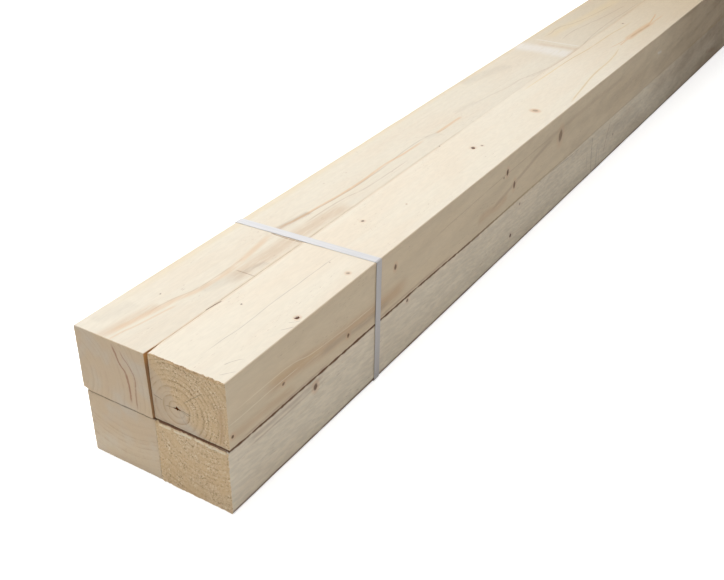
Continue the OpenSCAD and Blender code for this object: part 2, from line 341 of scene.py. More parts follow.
            Streak("right_upright", "crack", 0.3, 0.6, ((-2, 776), (12, 774), (24, 771), (34, 769))),
            Streak("right_upright", "brown", 0.4, 1.6, ((14, 789), (26, 792), (40, 797), (56, 803))),
            Streak("right_upright", "crack", 0.3, 0.5, ((0, 733), (16, 730), (30, 727), (44, 726))),
            Streak("right", "chalk", 0.4, 0.8, ((905, 63), (930, 60), (953, 56.5))),
            Streak("right", "grey", 0.2, 10, ((815, 40), (840, 36), (880, 30), (930, 28))),
            Streak("right", "brown", 0.3, 2.5, ((20, 57), (60, 56.4), (100, 56.2), (130, 57.5))),
            Streak("right", "brown", 0.3, 1.2, ((20, 52), (60, 51), (100, 51.5), (140, 51))),
            Streak("right", "heartwood", 0.35, 5, ((1245, 24), (1280, 18), (1310, 12))),
        ),
    ),
}


def tint(name, description, code):
    """A colour that a user can change, from its sRGB hex value."""
    return bpy.props.FloatVectorProperty(
        name=name, description=description, subtype="COLOR", size=3, min=0, max=1, default=linear(code))


def distance(name, description, default, least, most):
    """A size that a user can change, given in millimetres."""
    return bpy.props.FloatProperty(
        name=name, description=description, unit="LENGTH",
        default=default * MM, min=least * MM, max=most * MM)


def lamp_power(name, description, default):
    """A softbox's power in watts, which a user can change."""
    return bpy.props.FloatProperty(name=name, description=description, unit="POWER", default=default, min=0)


class StudSettings(bpy.types.PropertyGroup):
    """Colours and wear of the sawn studs."""

    earlywood: tint("Earlywood", "Pale wood that a year's spring growth leaves", "#F3E9D6")
    latewood: tint("Latewood", "Tan line that a year's late growth leaves", "#DFC9A6")
    blush: tint("Blush", "Pinkish tone that drifts over the long faces", "#F1E2CC")
    end_wood: tint("End wood", "Cut ends, which take in more light than the faces", "#DAC3A4")
    end_pale: tint("Pale end wood", "Paler, greyer patches of the cut ends", "#D8C8B2")
    end_line: tint("End line", "Latewood lines on the cut ends", "#BC9970")
    knot_core: tint("Knot core", "Dark heart of a knot", "#5B3A28")
    knot_halo: tint("Knot halo", "Reddish wood round a knot", "#D9AE84")
    resin: tint("Resin", "Orange streaks where resin soaked the wood", "#DDAC72")
    brown: tint("Brown line", "Thin brown lines along the grain", "#9C7656")
    heartwood: tint("Compression wood", "Reddish dense rings on the cut ends", "#A9745A")
    stain: tint("Stain", "Soft brown stains", "#CBA67F")
    # Painted light: highlights of raised fibres, lit rims and the chipped bevel, and a paler foot of one end
    ridge: tint("Raised fibre", "Light thread of fibre that stands off the face", "#F3E6CC")
    honey: tint("Honey", "Yellow wood near the bark", "#EBD5A8")
    grey: tint("Handling dirt", "Grey smudges from handling", "#A69A8C")
    chalk: tint("Rubbed wood", "Whitish wood where something rubbed the face", "#F7F3F0")
    # Also painted shade: the dark lines of the seams on the ends and the top, and the line along a foot
    crack: tint("Crack", "Dark fine cracks and torn slivers", "#6A4A34")
    # Painted shade: the brown that darkens the lines of the seams between the studs
    seam: tint("Seam", "Dust and shade in the seams between the studs", "#683C18")
    # Painted shade inside the upper pair's gap: warm near the top, darker lower down
    gap_top_shade: tint("Gap near the top", "Warm wood inside the gap that the snipe opens", "#D8A05C")
    gap_deep_shade: tint("Gap lower down", "Brown wood deep in that gap", "#A27C56")
    # Painted shade: tan that darkens the right side and, further back, the tops
    tan: tint("Weathered tan", "Tan that a side takes on in store", "#D0B58C")
    # Grey-brown mottling of the right side; where it thickens towards the far end it is painted shade
    grime_and_shade: tint("Grime", "Grey-brown mottling of the sides", "#8A7255")
    torn_end: tint("Torn end", "Orange tan of an end that a coarse saw tore", "#E2C394")
    torn_pit: tint("Torn pits", "Brown pits between the torn fibres", "#86603F")
    torn_tuft: tint("Torn tufts", "Pale tips of the torn fibres", "#F7EAD2")
    # Painted shade: brown deep in the heart checks and in the loose knots' hollows
    split_shade: tint("Split wood", "Brown wood inside the heart checks and beside loose knots", "#8A4A22")
    # Painted shade: the paler line that stands for the level seam further back, where it has closed
    closed_seam_shade: tint("Closed seam", "Yellow-brown line that is left of the level seam further back", "#AE9262")
    face_wave: distance("Face wave", "How far the sawn faces wander", 0.25, 0, 1)
    fuzz: distance("Fuzz", "Height of the short waves that the saw leaves", 0.05, 0, 0.5)
    end_tear: distance("End tear-out", "Depth to which a coarse saw tears the fibres of an end", 0.9, 0, 3)


class StrapSettings(bpy.types.PropertyGroup):
    """Shape and colour of the straps."""

    colour: tint("Strap", "White of the polypropylene", "#E8E6E6")
    veil: tint("Drawn streaks", "Fainter streaks that drawing leaves along the strap", "#DCDBDD")
    # Painted shade: grey that darkens the straps' right side
    side_shade_grey: tint("Dust", "Grey film on the right side", "#C4BFBE")
    width: distance("Width", "Width of a strap", 9, 5, 19)
    thickness: distance("Thickness", "Thickness of a strap", 0.6, 0.4, 1.2)
    ease: distance("Ease", "Gap between a strap and the sides of the bundle", 0.1, 0, 0.5)
    bend: distance("Bend", "Inner radius of a strap's bends over the arrises", 0.8, 0.3, 3)
    emboss: distance("Emboss", "Depth of the waffle pattern that the rollers press in", 0.08, 0, 0.2)
    waffle: distance("Waffle", "Distance between the waffle's dents", 2.2, 1, 5)
    weld_down: distance("Weld place", "Distance of the weld below the upper left arris", 6, 2, 14)
    weld_length: distance("Weld length", "Length over which the ends are welded", 30, 15, 38)
    tail: distance("Tail", "Length of the loose tail past the weld", 12, 4, 20)
    tail_off: distance("Tail standing off", "How far the tail's tip stands off", 0.8, 0.2, 2)


class StageSettings(bpy.types.PropertyGroup):
    """Camera, light and floor."""

    lens: bpy.props.FloatProperty(
        name="Lens", description="Focal length in millimetres on a sensor 36 mm wide", unit="CAMERA",
        default=51.54, min=10, max=300)
    camera_place: bpy.props.FloatVectorProperty(
        name="Camera place", description="Where the camera stands", subtype="TRANSLATION", unit="LENGTH",
        size=3, default=(-1.9591, -0.4852, 0.5821))
    camera_turn: bpy.props.FloatVectorProperty(
        name="Camera turn", description="How the camera is turned", subtype="EULER", unit="ROTATION",
        size=3, default=tuple(math.radians(a) for a in (58.426, -0.219, -57.620)))
    top_light: lamp_power("Top light", "Power of the softbox over the front half", 12.6)
    key_light: lamp_power("Key light", "Power of the softbox over the front end", 15.5)
    front_fill: lamp_power("Front fill", "Power of the softbox before the front ends", 5.1)
    right_fill: lamp_power("Right fill", "Power of the softbox on the camera's side", 5.8)
    left_fill: lamp_power("Left fill", "Power of the softbox on the far side", 21)
    end_fill: lamp_power("Far end fill", "Power of the softbox past the far end", 4)
    room_light: bpy.props.FloatProperty(
        name="Room light", description="Strength of the even light of the room", default=0.04, min=0)
    floor_colour: tint("Floor", "Pale floor", "#F4F4F4")
    floor_glow: bpy.props.FloatProperty(
        name="Floor brightness", description="How much brighter the camera sees the floor",
        default=0.72, min=0)


def add(tree, kind, feeds=None, **settings):
    """Adds one shader node with its settings. A feed is a value, another node or one of its outputs."""
    made = tree.nodes.new("ShaderNode" + kind)
    for name, value in settings.items():
        setattr(made, name, value)
    sockets = [s for s in made.inputs if s.enabled]
    for key, value in (feeds or {}).items():
        socket = sockets[key] if isinstance(key, int) else next(s for s in sockets if s.name == key)
        if isinstance(value, bpy.types.Node):
            value = next(s for s in value.outputs if s.enabled)
        if isinstance(value, bpy.types.NodeSocket):
            tree.links.new(value, socket)
        else:
            socket.default_value = value
    return made


def new_material(name):
    """An empty material with a Principled shader on its output."""
    material = bpy.data.materials.new(name)
    material.use_nodes = True
    tree = material.node_tree
    tree.nodes.clear()
    shader = add(tree, "BsdfPrincipled")
    add(tree, "OutputMaterial", {"Surface": shader})
    return material, tree, shader


def row_place(tree):
    """Millimetres in the row's frame, so that a pattern runs from a face round onto the ends."""
    metres = add(tree, "TexCoord").outputs["Object"]
    return add(tree, "VectorMath", {0: metres, "Scale": 1 / MM}, operation="SCALE")


def waver(tree, place, period, reach, detail=2.0):
    """Moves the place about by up to half the reach, over the period given along each axis."""
    scaled = add(tree, "VectorMath", {0: place, 1: tuple(1 / p for p in period)}, operation="MULTIPLY")
    colour = add(tree, "TexNoise", {0: scaled, "Scale": 1.0, "Detail": detail}).outputs["Color"]
    centred = add(tree, "VectorMath", {0: colour, 1: (0.5, 0.5, 0.5)}, operation="SUBTRACT")
    shift = add(tree, "VectorMath", {0: centred, 1: reach}, operation="MULTIPLY")
    return add(tree, "VectorMath", {0: place, 1: shift}, operation="ADD")


def cloud(tree, place, period, low, high, detail=2.0):
    """A soft patchy mask from noise of the period given along each axis."""
    scaled = add(tree, "VectorMath", {0: place, 1: tuple(1 / p for p in period)}, operation="MULTIPLY")
    patches = add(tree, "TexNoise", {0: scaled, "Scale": 1.0, "Detail": detail})
    return add(tree, "MapRange", {0: patches, 1: low, 2: high}, interpolation_type="SMOOTHSTEP")


def blend(tree, under, over, amount, mode="MIX"):
    """Lays a colour over another by an amount."""
    return add(tree, "Mix", {0: amount, "A": under, "B": over}, data_type="RGBA", blend_type=mode)


def opaque(colour):
    """A colour with its alpha, as the nodes take it."""
    return (*colour, 1.0)


def by_distance(tree, parts, distances, levels=(0.0, 1.0)):
    """A value that goes from one level to another between two distances from the front end."""
    near, far = (FRONT_X + away for away in distances)
    return add(tree, "MapRange", {0: parts.outputs["X"], 1: near, 2: far, 3: levels[0], 4: levels[1]})


# Where a knot's core, its halo and its push on the rings begin and where they are full, in the knot's radii
CORE_FADE, HALO_FADE, PUSH_FADE = (1.05, 0.5), (2.2, 0.9), (6.0, 0.5)
# How far a knot pushes the rings, in its radii, and how steeply it fades along the grain beside across it
KNOT_PUSH, KNOT_ALONG = 1.1, 0.85
# How a knot's outline wobbles, as a period and a reach in millimetres
KNOT_WOBBLE = ((3.0, 3.0, 3.0), (1.4, 1.4, 1.4))


def knot_fields(tree, place, wood):
    """How dark the knots' cores and halos are here, and how far they push the rings outwards."""
    wobbly = waver(tree, place, *KNOT_WOBBLE)
    core, halo, swell = 0.0, 0.0, 0.0
    for knot in wood.knots:
        middle = (FRONT_X + knot.x, knot.y, knot.z)
        away = add(tree, "VectorMath", {0: wobbly, 1: middle}, operation="SUBTRACT")
        tall = 1 / (knot.radius * knot.tall)
        steepness = (KNOT_ALONG / knot.radius, tall, tall)
        scaled = add(tree, "VectorMath", {0: away, 1: steepness}, operation="MULTIPLY")
        radii_off = add(tree, "VectorMath", {0: scaled}, operation="LENGTH")
        dark = add(tree, "MapRange", {0: radii_off, 1: CORE_FADE[0], 2: CORE_FADE[1], 4: knot.core},
                   interpolation_type="SMOOTHSTEP")
        reddish = add(tree, "MapRange", {0: radii_off, 1: HALO_FADE[0], 2: HALO_FADE[1], 4: knot.halo},
                      interpolation_type="SMOOTHSTEP")
        push = add(tree, "MapRange", {0: radii_off, 1: PUSH_FADE[0], 2: PUSH_FADE[1],
                                      4: KNOT_PUSH * knot.radius}, interpolation_type="SMOOTHERSTEP")
        core = add(tree, "Math", {0: core, 1: dark}, operation="MAXIMUM")
        halo = add(tree, "Math", {0: halo, 1: reddish}, operation="MAXIMUM")
        swell = add(tree, "Math", {0: swell, 1: push}, operation="ADD")
    return core, halo, swell


# How the year rings wander slowly and quickly along the stud, each as a period and a reach in millimetres
SLOW_BEND, QUICK_BEND = ((700, 90, 90), (0, 9, 9)), ((130, 14, 14), (0, 2.4, 2.4))
# How quickly the years' widths change, and by how many years the lines are moved for it
WIDTH_CHANGES, WIDTH_SHIFT = 0.37, 2.2
# The darkness within a year between its two latewood lines, as its part of the year and its level
YEAR_TONES = ((0.07, 0.08), (0.45, 0.0), (0.75, 0.3), (0.93, 0.9))
YEAR_START, YEAR_END = 0.75, 1
# How plain the faintest year's line is beside the plainest
FAINTEST_YEAR = 0.25


def growth(tree, place, wood, swell):
    """The year rings, as wavy cylinders round the pith: 1 on the latewood line and 0 in the early wood."""
    bent = waver(tree, waver(tree, place, *SLOW_BEND), *QUICK_BEND, detail=4)
    parts = add(tree, "SeparateXYZ", {0: bent})
    along = add(tree, "Math", {0: parts.outputs["X"], 1: -FRONT_X}, operation="ADD")
    drift = add(tree, "Math", {0: along, 1: wood.drift, 2: wood.pith_y}, operation="MULTIPLY_ADD")
    off_y = add(tree, "Math", {0: parts.outputs["Y"], 1: drift}, operation="SUBTRACT")
    off_z = add(tree, "Math", {0: parts.outputs["Z"], 1: wood.pith_z}, operation="SUBTRACT")
    off = add(tree, "CombineXYZ", {"Y": off_y, "Z": off_z})
    radius = add(tree, "VectorMath", {0: off}, operation="LENGTH")
    grown = add(tree, "Math", {0: radius, 1: swell}, operation="ADD")
    years = add(tree, "Math", {0: grown, 1: wood.ring}, operation="DIVIDE")
    season = add(tree, "TexNoise", {"W": years, "Scale": WIDTH_CHANGES, "Detail": 1.0}, noise_dimensions="1D")
    uneven = add(tree, "Math", {0: season, 1: WIDTH_SHIFT, 2: years}, operation="MULTIPLY_ADD")
    part_of_year = add(tree, "Math", {0: uneven}, operation="FRACT")
    line = add(tree, "ValToRGB", {0: part_of_year})
    ramp = line.color_ramp.elements
    ramp[0].color = opaque((YEAR_START,) * 3)
    ramp[1].color = opaque((YEAR_END,) * 3)
    for position, level in YEAR_TONES:
        element = ramp.new(position)
        element.color = opaque((level,) * 3)
    # Some years left a plain line and others hardly one
    year = add(tree, "Math", {0: uneven}, operation="FLOOR")
    growth_of_year = add(tree, "TexWhiteNoise", {"W": year}, noise_dimensions="1D").outputs["Value"]
    plainness = add(tree, "MapRange", {0: growth_of_year, 3: FAINTEST_YEAR, 4: 1.0})
    return add(tree, "Math", {0: line, 1: plainness}, operation="MULTIPLY")


def on_face(tree, parts, face):
    """1 on one face of the bundle and 0 elsewhere."""
    _, _, depth_axis, depth, side = FACES[face]
    under, over = depth - FACE_FADE[0] * side, depth + FACE_FADE[1] * side
    return add(tree, "MapRange", {0: parts.outputs[depth_axis], 1: under, 2: over})


# Where a streak starts to show and where it is full: across it in half widths, and along it as shares of
# its length from its middle
ACROSS_FADE, ALONG_FADE = (1.3, 0.2), (0.499, 0.38)
# The least spread that a straight streak's curve is scaled by, in millimetres
LEAST_SPREAD = 0.1


def streak_mask(tree, place, streak):
    """How strongly a streak shows here: full on its course, fading to its sides and both its ends."""
    parts = add(tree, "SeparateXYZ", {0: place})
    along_axis, across_axis = FACES[streak.face][:2]
    steps = [a + FRONT_X * (along_axis == "X") for a, _ in streak.course]
    places = [b + FRONT_X * (across_axis == "X") for _, b in streak.course]
    first, last, low, high = min(steps), max(steps), min(places), max(places)
    spread = max(high - low, LEAST_SPREAD)
    part = add(tree, "MapRange", {0: parts.outputs[along_axis], 1: first, 2: last})
    bend = add(tree, "FloatCurve", {"Value": part})
    curve = bend.mapping.curves[0]
    while len(curve.points) < len(steps):
        curve.points.new(0.5, 0.5)
    for point, (step, at) in zip(curve.points, sorted(zip(steps, places))):
        point.location = ((step - first) / (last - first), (at - low) / spread)
    bend.mapping.update()
    middle = add(tree, "Math", {0: bend, 1: spread, 2: low}, operation="MULTIPLY_ADD")
    off = add(tree, "Math", {0: parts.outputs[across_axis], 1: middle}, operation="SUBTRACT")
    away = add(tree, "Math", {0: off}, operation="ABSOLUTE")
    edge, full = (streak.half_width * share for share in ACROSS_FADE)
    across = add(tree, "MapRange", {0: away, 1: edge, 2: full, 4: streak.strength},
                 interpolation_type="SMOOTHSTEP")
    ends = add(tree, "Math", {0: part, 1: 0.5}, operation="SUBTRACT")
    from_middle = add(tree, "Math", {0: ends}, operation="ABSOLUTE")
    fade = add(tree, "MapRange", {0: from_middle, 1: ALONG_FADE[0], 2: ALONG_FADE[1]},
               interpolation_type="SMOOTHSTEP")
    shown = add(tree, "Math", {0: across, 1: fade}, operation="MULTIPLY")
    return add(tree, "Math", {0: shown, 1: on_face(tree, parts, streak.face)}, operation="MULTIPLY")


# From the broadest and softest marks to the finest, which lie over them
TINTS = ("honey", "stain", "grey", "chalk", "resin", "brown", "heartwood", "crack", "ridge")


def lay_streaks(tree, place, wood, colour, settings, faces):
    """Lays the streaks of the named faces over a colour, each in its tint and broken up along the grain."""
    feathered = waver(tree, place, period=(40, 6, 6), reach=(0, 1.6, 1.6), detail=3)
    broken = cloud(tree, place, period=(22, 2.5, 2.5), low=0.15, high=0.5, detail=3)
    for kind in TINTS:
        mask = None
        for streak in wood.streaks:
            if streak.tint == kind and streak.face in faces:
                this = streak_mask(tree, feathered, streak)
                mask = this if mask is None else add(tree, "Math", {0: mask, 1: this}, operation="MAXIMUM")
        if mask is not None:
            amount = add(tree, "Math", {0: mask, 1: broken}, operation="MULTIPLY")
            colour = blend(tree, colour, opaque(getattr(settings, kind)), amount)
    return colour


# The level seam's line of painted shade: how far under the seam its middle lies, how long its uneven
# stretches are, its least and greatest half width, and where it starts to show and is full in half widths.
# All in millimetres
LINE_UNDER = 0.3
LINE_PERIOD = (9, 7)
LINE_WIDTHS = (0.8, 1.9)
LINE_FADE = (1.25, 0.55)
# Distances from the front end between which it pales, with its strengths there
LINE_PALES, LINE_STRENGTHS = (360, 700), (0.93, 0.3)
# Distances between which the ledge before it ends, and how sharply it stops at the line's middle
LEDGE_ENDS, LEDGE_EDGE = (-0.9, -0.2), 0.1
# Distances between which the line's painted shade turns golden, where the seam has closed
LINE_TURNS = (380, 520)


def seam_shade(tree, place):
    """How strongly painted shade darkens the level seam here: a line of uneven width that fades further back.
    """
    parts = add(tree, "SeparateXYZ", {0: place})
    first, last = SEAM_DROP[0][0], SEAM_DROP[-1][0]
    part = add(tree, "MapRange", {0: parts.outputs["X"], 1: FRONT_X + first, 2: FRONT_X + last})
    lowered = add(tree, "FloatCurve", {"Value": part})
    curve = lowered.mapping.curves[0]
    while len(curve.points) < len(SEAM_DROP):
        curve.points.new(0.5, 0.5)
    for point, (step, depth) in zip(curve.points, SEAM_DROP):
        point.location = ((step - first) / (last - first), depth / SEAM_LOWEST)
        point.handle_type = "VECTOR"
    lowered.mapping.update()
    level = add(tree, "Math", {0: lowered, 1: -SEAM_LOWEST, 2: SEAM_Z - LINE_UNDER}, operation="MULTIPLY_ADD")
    off = add(tree, "Math", {0: parts.outputs["Z"], 1: level}, operation="SUBTRACT")
    away = add(tree, "Math", {0: off}, operation="ABSOLUTE")
    frequency = (1 / LINE_PERIOD[0], 1 / LINE_PERIOD[1], 0)
    scaled = add(tree, "VectorMath", {0: place, 1: frequency}, operation="MULTIPLY")
    uneven = add(tree, "TexNoise", {0: scaled, "Scale": 1.0, "Detail": 4.0})
    width = add(tree, "MapRange", {0: uneven, 1: 0.3, 2: 0.7, 3: LINE_WIDTHS[0], 4: LINE_WIDTHS[1]})
    share = add(tree, "Math", {0: away, 1: width}, operation="DIVIDE")
    line = add(tree, "MapRange", {0: share, 1: LINE_FADE[0], 2: LINE_FADE[1]},
               interpolation_type="SMOOTHSTEP")
    fade = by_distance(tree, parts, LINE_PALES, LINE_STRENGTHS)
    # The front edge of the stud that stands out below the seam is left light
    ledge = by_distance(tree, parts, LEDGE_ENDS)
    under = add(tree, "MapRange", {0: off, 1: LEDGE_EDGE, 2: -LEDGE_EDGE})
    above = add(tree, "Math", {0: 1.0, 1: under}, operation="SUBTRACT")
    open_ledge = add(tree, "Math", {0: ledge, 1: above}, operation="MAXIMUM")
    shaded = add(tree, "Math", {0: line, 1: fade}, operation="MULTIPLY")
    return add(tree, "Math", {0: shaded, 1: open_ledge}, operation="MULTIPLY")


# The upper pair's gap, painted with shade: how far from the seam its walls lie at most, between which depths
# under the top it begins and between which it grows darkest, how patchily, and how soon it ends over the
# level seam
GAP_WALLS, GAP_MOUTH, GAP_DARKENS = (2.4, 2.0), (0.1, 1.2), (3, 15)
GAP_PATCHY, GAP_FOOT = 0.3, 0.2


def gap_shade(tree, place):
    """Where a long face lies in the upper pair's gap, and how deep in it, from 0 to 1, for the gap's painted
    shade.
    """
    parts = add(tree, "SeparateXYZ", {0: place})
    off = add(tree, "Math", {0: parts.outputs["Y"], 1: SEAM_Y}, operation="SUBTRACT")
    away = add(tree, "Math", {0: off}, operation="ABSOLUTE")
    near = add(tree, "MapRange", {0: away, 1: GAP_WALLS[0], 2: GAP_WALLS[1]})
    below = add(tree, "MapRange", {0: parts.outputs["Z"], 1: TOP_Z - GAP_MOUTH[0], 2: TOP_Z - GAP_MOUTH[1]})
    above_seam = add(tree, "MapRange", {0: parts.outputs["Z"], 1: SEAM_Z, 2: SEAM_Z + GAP_FOOT})
    inside = add(tree, "Math", {0: near, 1: below}, operation="MULTIPLY")
    inside = add(tree, "Math", {0: inside, 1: above_seam}, operation="MULTIPLY")
    uneven = cloud(tree, place, period=(9, 9, 14), low=0.3, high=0.7)
    paler, darker = (TOP_Z - depth for depth in GAP_DARKENS)
    lower = add(tree, "MapRange", {0: parts.outputs["Z"], 1: paler, 2: darker})
    deep = add(tree, "Math", {0: uneven, 1: GAP_PATCHY, 2: lower}, operation="MULTIPLY_ADD", use_clamp=True)
    return inside, deep


# Grime on the right side, whose thickening further back is painted shade: two distances from the front end
# and its levels there. It slowly thickens, it thickens once more, and past what the camera sees it clears
SHADE_AND_GRIME_RISES = ((250, 1300), (0.08, 0.26))
SHADE_AND_GRIME_THICKENS = ((940, 1130), (0.0, 0.42))
SHADE_AND_GRIME_CLEARS = ((1400, 2200), (1.0, 0.3))
# How much the fine mottling counts beside the broad, and how the mottling slants across the grain
FINE_GRIME, GRIME_SLANT = 0.5, math.radians(5)
# The tops are tanned by painted shade between these distances, by up to this much
TOPS_SHADE_TAN = ((760, 1150), (0.0, 0.6))


def side_shade_and_grime(tree, place, wood):
    """Painted shade on the right face and the far tops, and grime that painted shade thickens further back.
    """
    parts = add(tree, "SeparateXYZ", {0: place})
    right = on_face(tree, parts, "right")
    skewed = add(tree, "VectorRotate", {0: place, "Axis": (0, 1, 0), "Angle": GRIME_SLANT})
    broad = cloud(tree, skewed, period=(130, 40, 22), low=0.4, high=0.68, detail=4)
    fine = cloud(tree, skewed, period=(22, 10, 7), low=0.4, high=0.8, detail=4)
    mottled = add(tree, "Math", {0: fine, 1: FINE_GRIME, 2: broad}, operation="MULTIPLY_ADD")
    back = by_distance(tree, parts, *SHADE_AND_GRIME_RISES)
    past = by_distance(tree, parts, *SHADE_AND_GRIME_THICKENS)
    cleaner = by_distance(tree, parts, *SHADE_AND_GRIME_CLEARS)
    level = add(tree, "Math", {0: mottled, 1: back, 2: past}, operation="MULTIPLY_ADD")
    level = add(tree, "Math", {0: level, 1: cleaner}, operation="MULTIPLY")
    grime_and_shade = add(tree, "Math", {0: level, 1: right}, operation="MULTIPLY")
    tan = add(tree, "Math", {0: right, 1: wood.tan}, operation="MULTIPLY")
    darker = by_distance(tree, parts, *TOPS_SHADE_TAN)
    top = add(tree, "Math", {0: on_face(tree, parts, "top"), 1: darker}, operation="MULTIPLY")
    tan = add(tree, "Math", {0: tan, 1: top}, operation="MAXIMUM")
    return tan, grime_and_shade


# Sawn faces: how much of the year lines shows between their plain patches, and how strong the blush gets
LINES_LEFT, MOST_BLUSH = 0.3, 0.6
# How the woolly patches vary the tone, the fibres' tones, and how the wool slants across the grain
WOOL_TONE, WOOL_DARKENS, FIBRE_TONES, WOOL_SLANT = 0.13, -0.06, (0.985, 1.005), math.radians(-9)
# Noise levels between which dark flecks and painted highlights come up, and how strong they get
DARK_FLECKS, MOST_DARK = (0.72, 0.86), 0.4
LIGHT_FLECKS, MOST_LIGHT = (0.7, 0.9), 0.5
# Roughness between the fibres and on them, and the wool's relief beside theirs
FIBRE_ROUGHNESS, WOOL_RELIEF = (0.78, 0.62), 4.0


def sawn_pine_faces(name, wood, settings):
    """Pine sawn along the grain and left rough: matt cream with faint tan year lines and raised fibres."""
    material, tree, shader = new_material(name + "_sawn_pine")
    place = row_place(tree)
    core, halo, swell = knot_fields(tree, place, wood)
    line = growth(tree, place, wood, swell)
    shows = cloud(tree, place, period=(320, 22, 22), low=0.35, high=0.7)
    strength = add(tree, "Math", {0: shows, 1: wood.face_lines, 2: LINES_LEFT * wood.face_lines},
                   operation="MULTIPLY_ADD")
    late = add(tree, "Math", {0: line, 1: strength}, operation="MULTIPLY")
    colour = blend(tree, opaque(settings.earlywood), opaque(settings.latewood), late)
    warm = cloud(tree, place, period=(150, 34, 34), low=0.42, high=0.72, detail=3)
    warm = add(tree, "Math", {0: warm, 1: MOST_BLUSH}, operation="MULTIPLY")
    colour = blend(tree, colour, opaque(settings.blush), warm)
    # Painted shade: the right side and the far tops darkened to tan, and the grime thickened further back
    tan, grime_and_shade = side_shade_and_grime(tree, place, wood)
    colour = blend(tree, colour, opaque(settings.tan), tan)
    # Fibres are some 0.03 mm wide. They are drawn 1 mm wide and 20 mm long, as coarse as they need to show
    fibre = cloud(tree, place, period=(20, 1.1, 1.1), low=0.25, high=0.75, detail=3)
    slanted = add(tree, "VectorRotate", {0: place, "Axis": (0, 1, 0), "Angle": WOOL_SLANT})
    wool = cloud(tree, slanted, period=(12, 3, 3), low=0.34, high=0.7, detail=4)
    woolly = add(tree, "Math", {0: wool, 1: WOOL_TONE * wood.woolly, 2: WOOL_DARKENS * wood.woolly},
                 operation="MULTIPLY_ADD")
    fibre_tone = add(tree, "MapRange", {0: fibre, 3: FIBRE_TONES[0], 4: FIBRE_TONES[1]})
    tone = add(tree, "Math", {0: fibre_tone, 1: woolly}, operation="ADD")
    tone = add(tree, "Math", {0: tone, 1: wood.level}, operation="MULTIPLY")
    grey = add(tree, "CombineXYZ", {0: tone, 1: tone, 2: tone})
    colour = blend(tree, colour, grey, 1.0, mode="MULTIPLY")
    # Short dark flecks where the saw lifted the fibres, in patches
    torn = cloud(tree, place, period=(5, 0.9, 0.9), low=0.0, high=1.0, detail=1)
    fleck = add(tree, "MapRange", {0: torn, 1: DARK_FLECKS[0], 2: DARK_FLECKS[1]})
    patch = cloud(tree, place, period=(70, 16, 16), low=0.5, high=0.66)
    flecks = add(tree, "Math", {0: fleck, 1: patch}, operation="MULTIPLY")
    flecks = add(tree, "Math", {0: flecks, 1: MOST_DARK}, operation="MULTIPLY")
    colour = blend(tree, colour, opaque(settings.brown), flecks)
    # Painted highlights where raised fibres catch the light, slanted across the grain as the saw lifted them
    raised = cloud(tree, slanted, period=(4, 1.1, 1.1), low=0.0, high=1.0, detail=1)
    raised = add(tree, "MapRange", {0: raised, 1: LIGHT_FLECKS[0], 2: LIGHT_FLECKS[1],
                                    4: MOST_LIGHT * wood.woolly})
    lifted = cloud(tree, place, period=(90, 20, 20), low=0.45, high=0.65)
    raised = add(tree, "Math", {0: raised, 1: lifted}, operation="MULTIPLY")
    colour = blend(tree, colour, opaque(settings.ridge), raised)
    colour = lay_streaks(tree, place, wood, colour, settings, LONG_FACES)
    colour = blend(tree, colour, opaque(settings.grime_and_shade), grime_and_shade)
    colour = blend(tree, colour, opaque(settings.knot_halo), halo)
    colour = blend(tree, colour, opaque(settings.knot_core), core)
    # Painted shade inside the upper pair's gap, darker deeper down
    inside, deep = gap_shade(tree, place)
    gap = blend(tree, opaque(settings.gap_top_shade), opaque(settings.gap_deep_shade), deep)
    colour = blend(tree, colour, gap.outputs[2], inside)
    # Painted shade over the level seam: dark brown at the front, golden further back where the seam has
    # closed
    further = by_distance(tree, add(tree, "SeparateXYZ", {0: place}), LINE_TURNS)
    seam_shade_colour = blend(tree, opaque(settings.seam), opaque(settings.closed_seam_shade), further)
    colour = blend(tree, colour, seam_shade_colour.outputs[2], seam_shade(tree, place))
    tree.links.new(colour.outputs[2], shader.inputs["Base Color"])
    roughness = add(tree, "MapRange", {0: fibre, 3: FIBRE_ROUGHNESS[0], 4: FIBRE_ROUGHNESS[1]})
    tree.links.new(roughness.outputs[0], shader.inputs["Roughness"])
    shader.inputs["IOR"].default_value = 1.5
    relief = add(tree, "Math", {0: wool, 1: WOOL_RELIEF * wood.woolly, 2: fibre}, operation="MULTIPLY_ADD")
    bump = add(tree, "Bump", {"Height": relief, "Strength": 0.4, "Distance": 0.06 * MM})
    tree.links.new(bump.outputs[0], shader.inputs["Normal"])
    return material


# Cut ends: how far the tearing's edge wanders, and between which distances past it the tearing sets in, in
# millimetres, and what stands for a whole torn or clean end there
TEAR_WANDERS, TEAR_SETS_IN, WHOLE_END = 26, (8, 20), 20
# How much of the rings shows in their plain patches and between them
RINGS_MORE, RINGS_LEFT = 0.85, 0.15
# How far the rings shift the speckles, and the noise levels between which pits and tufts come up
SPECKLE_SHIFT, PITS, TUFTS = -0.16, (0.43, 0.345), (0.53, 0.62)
# The speckles' strength in clusters, between them, and on an end that isn't torn
IN_CLUSTERS, BETWEEN_CLUSTERS, ON_CLEAN_END = 0.6, 0.2, 0.05
TORN_TAN = 0.7


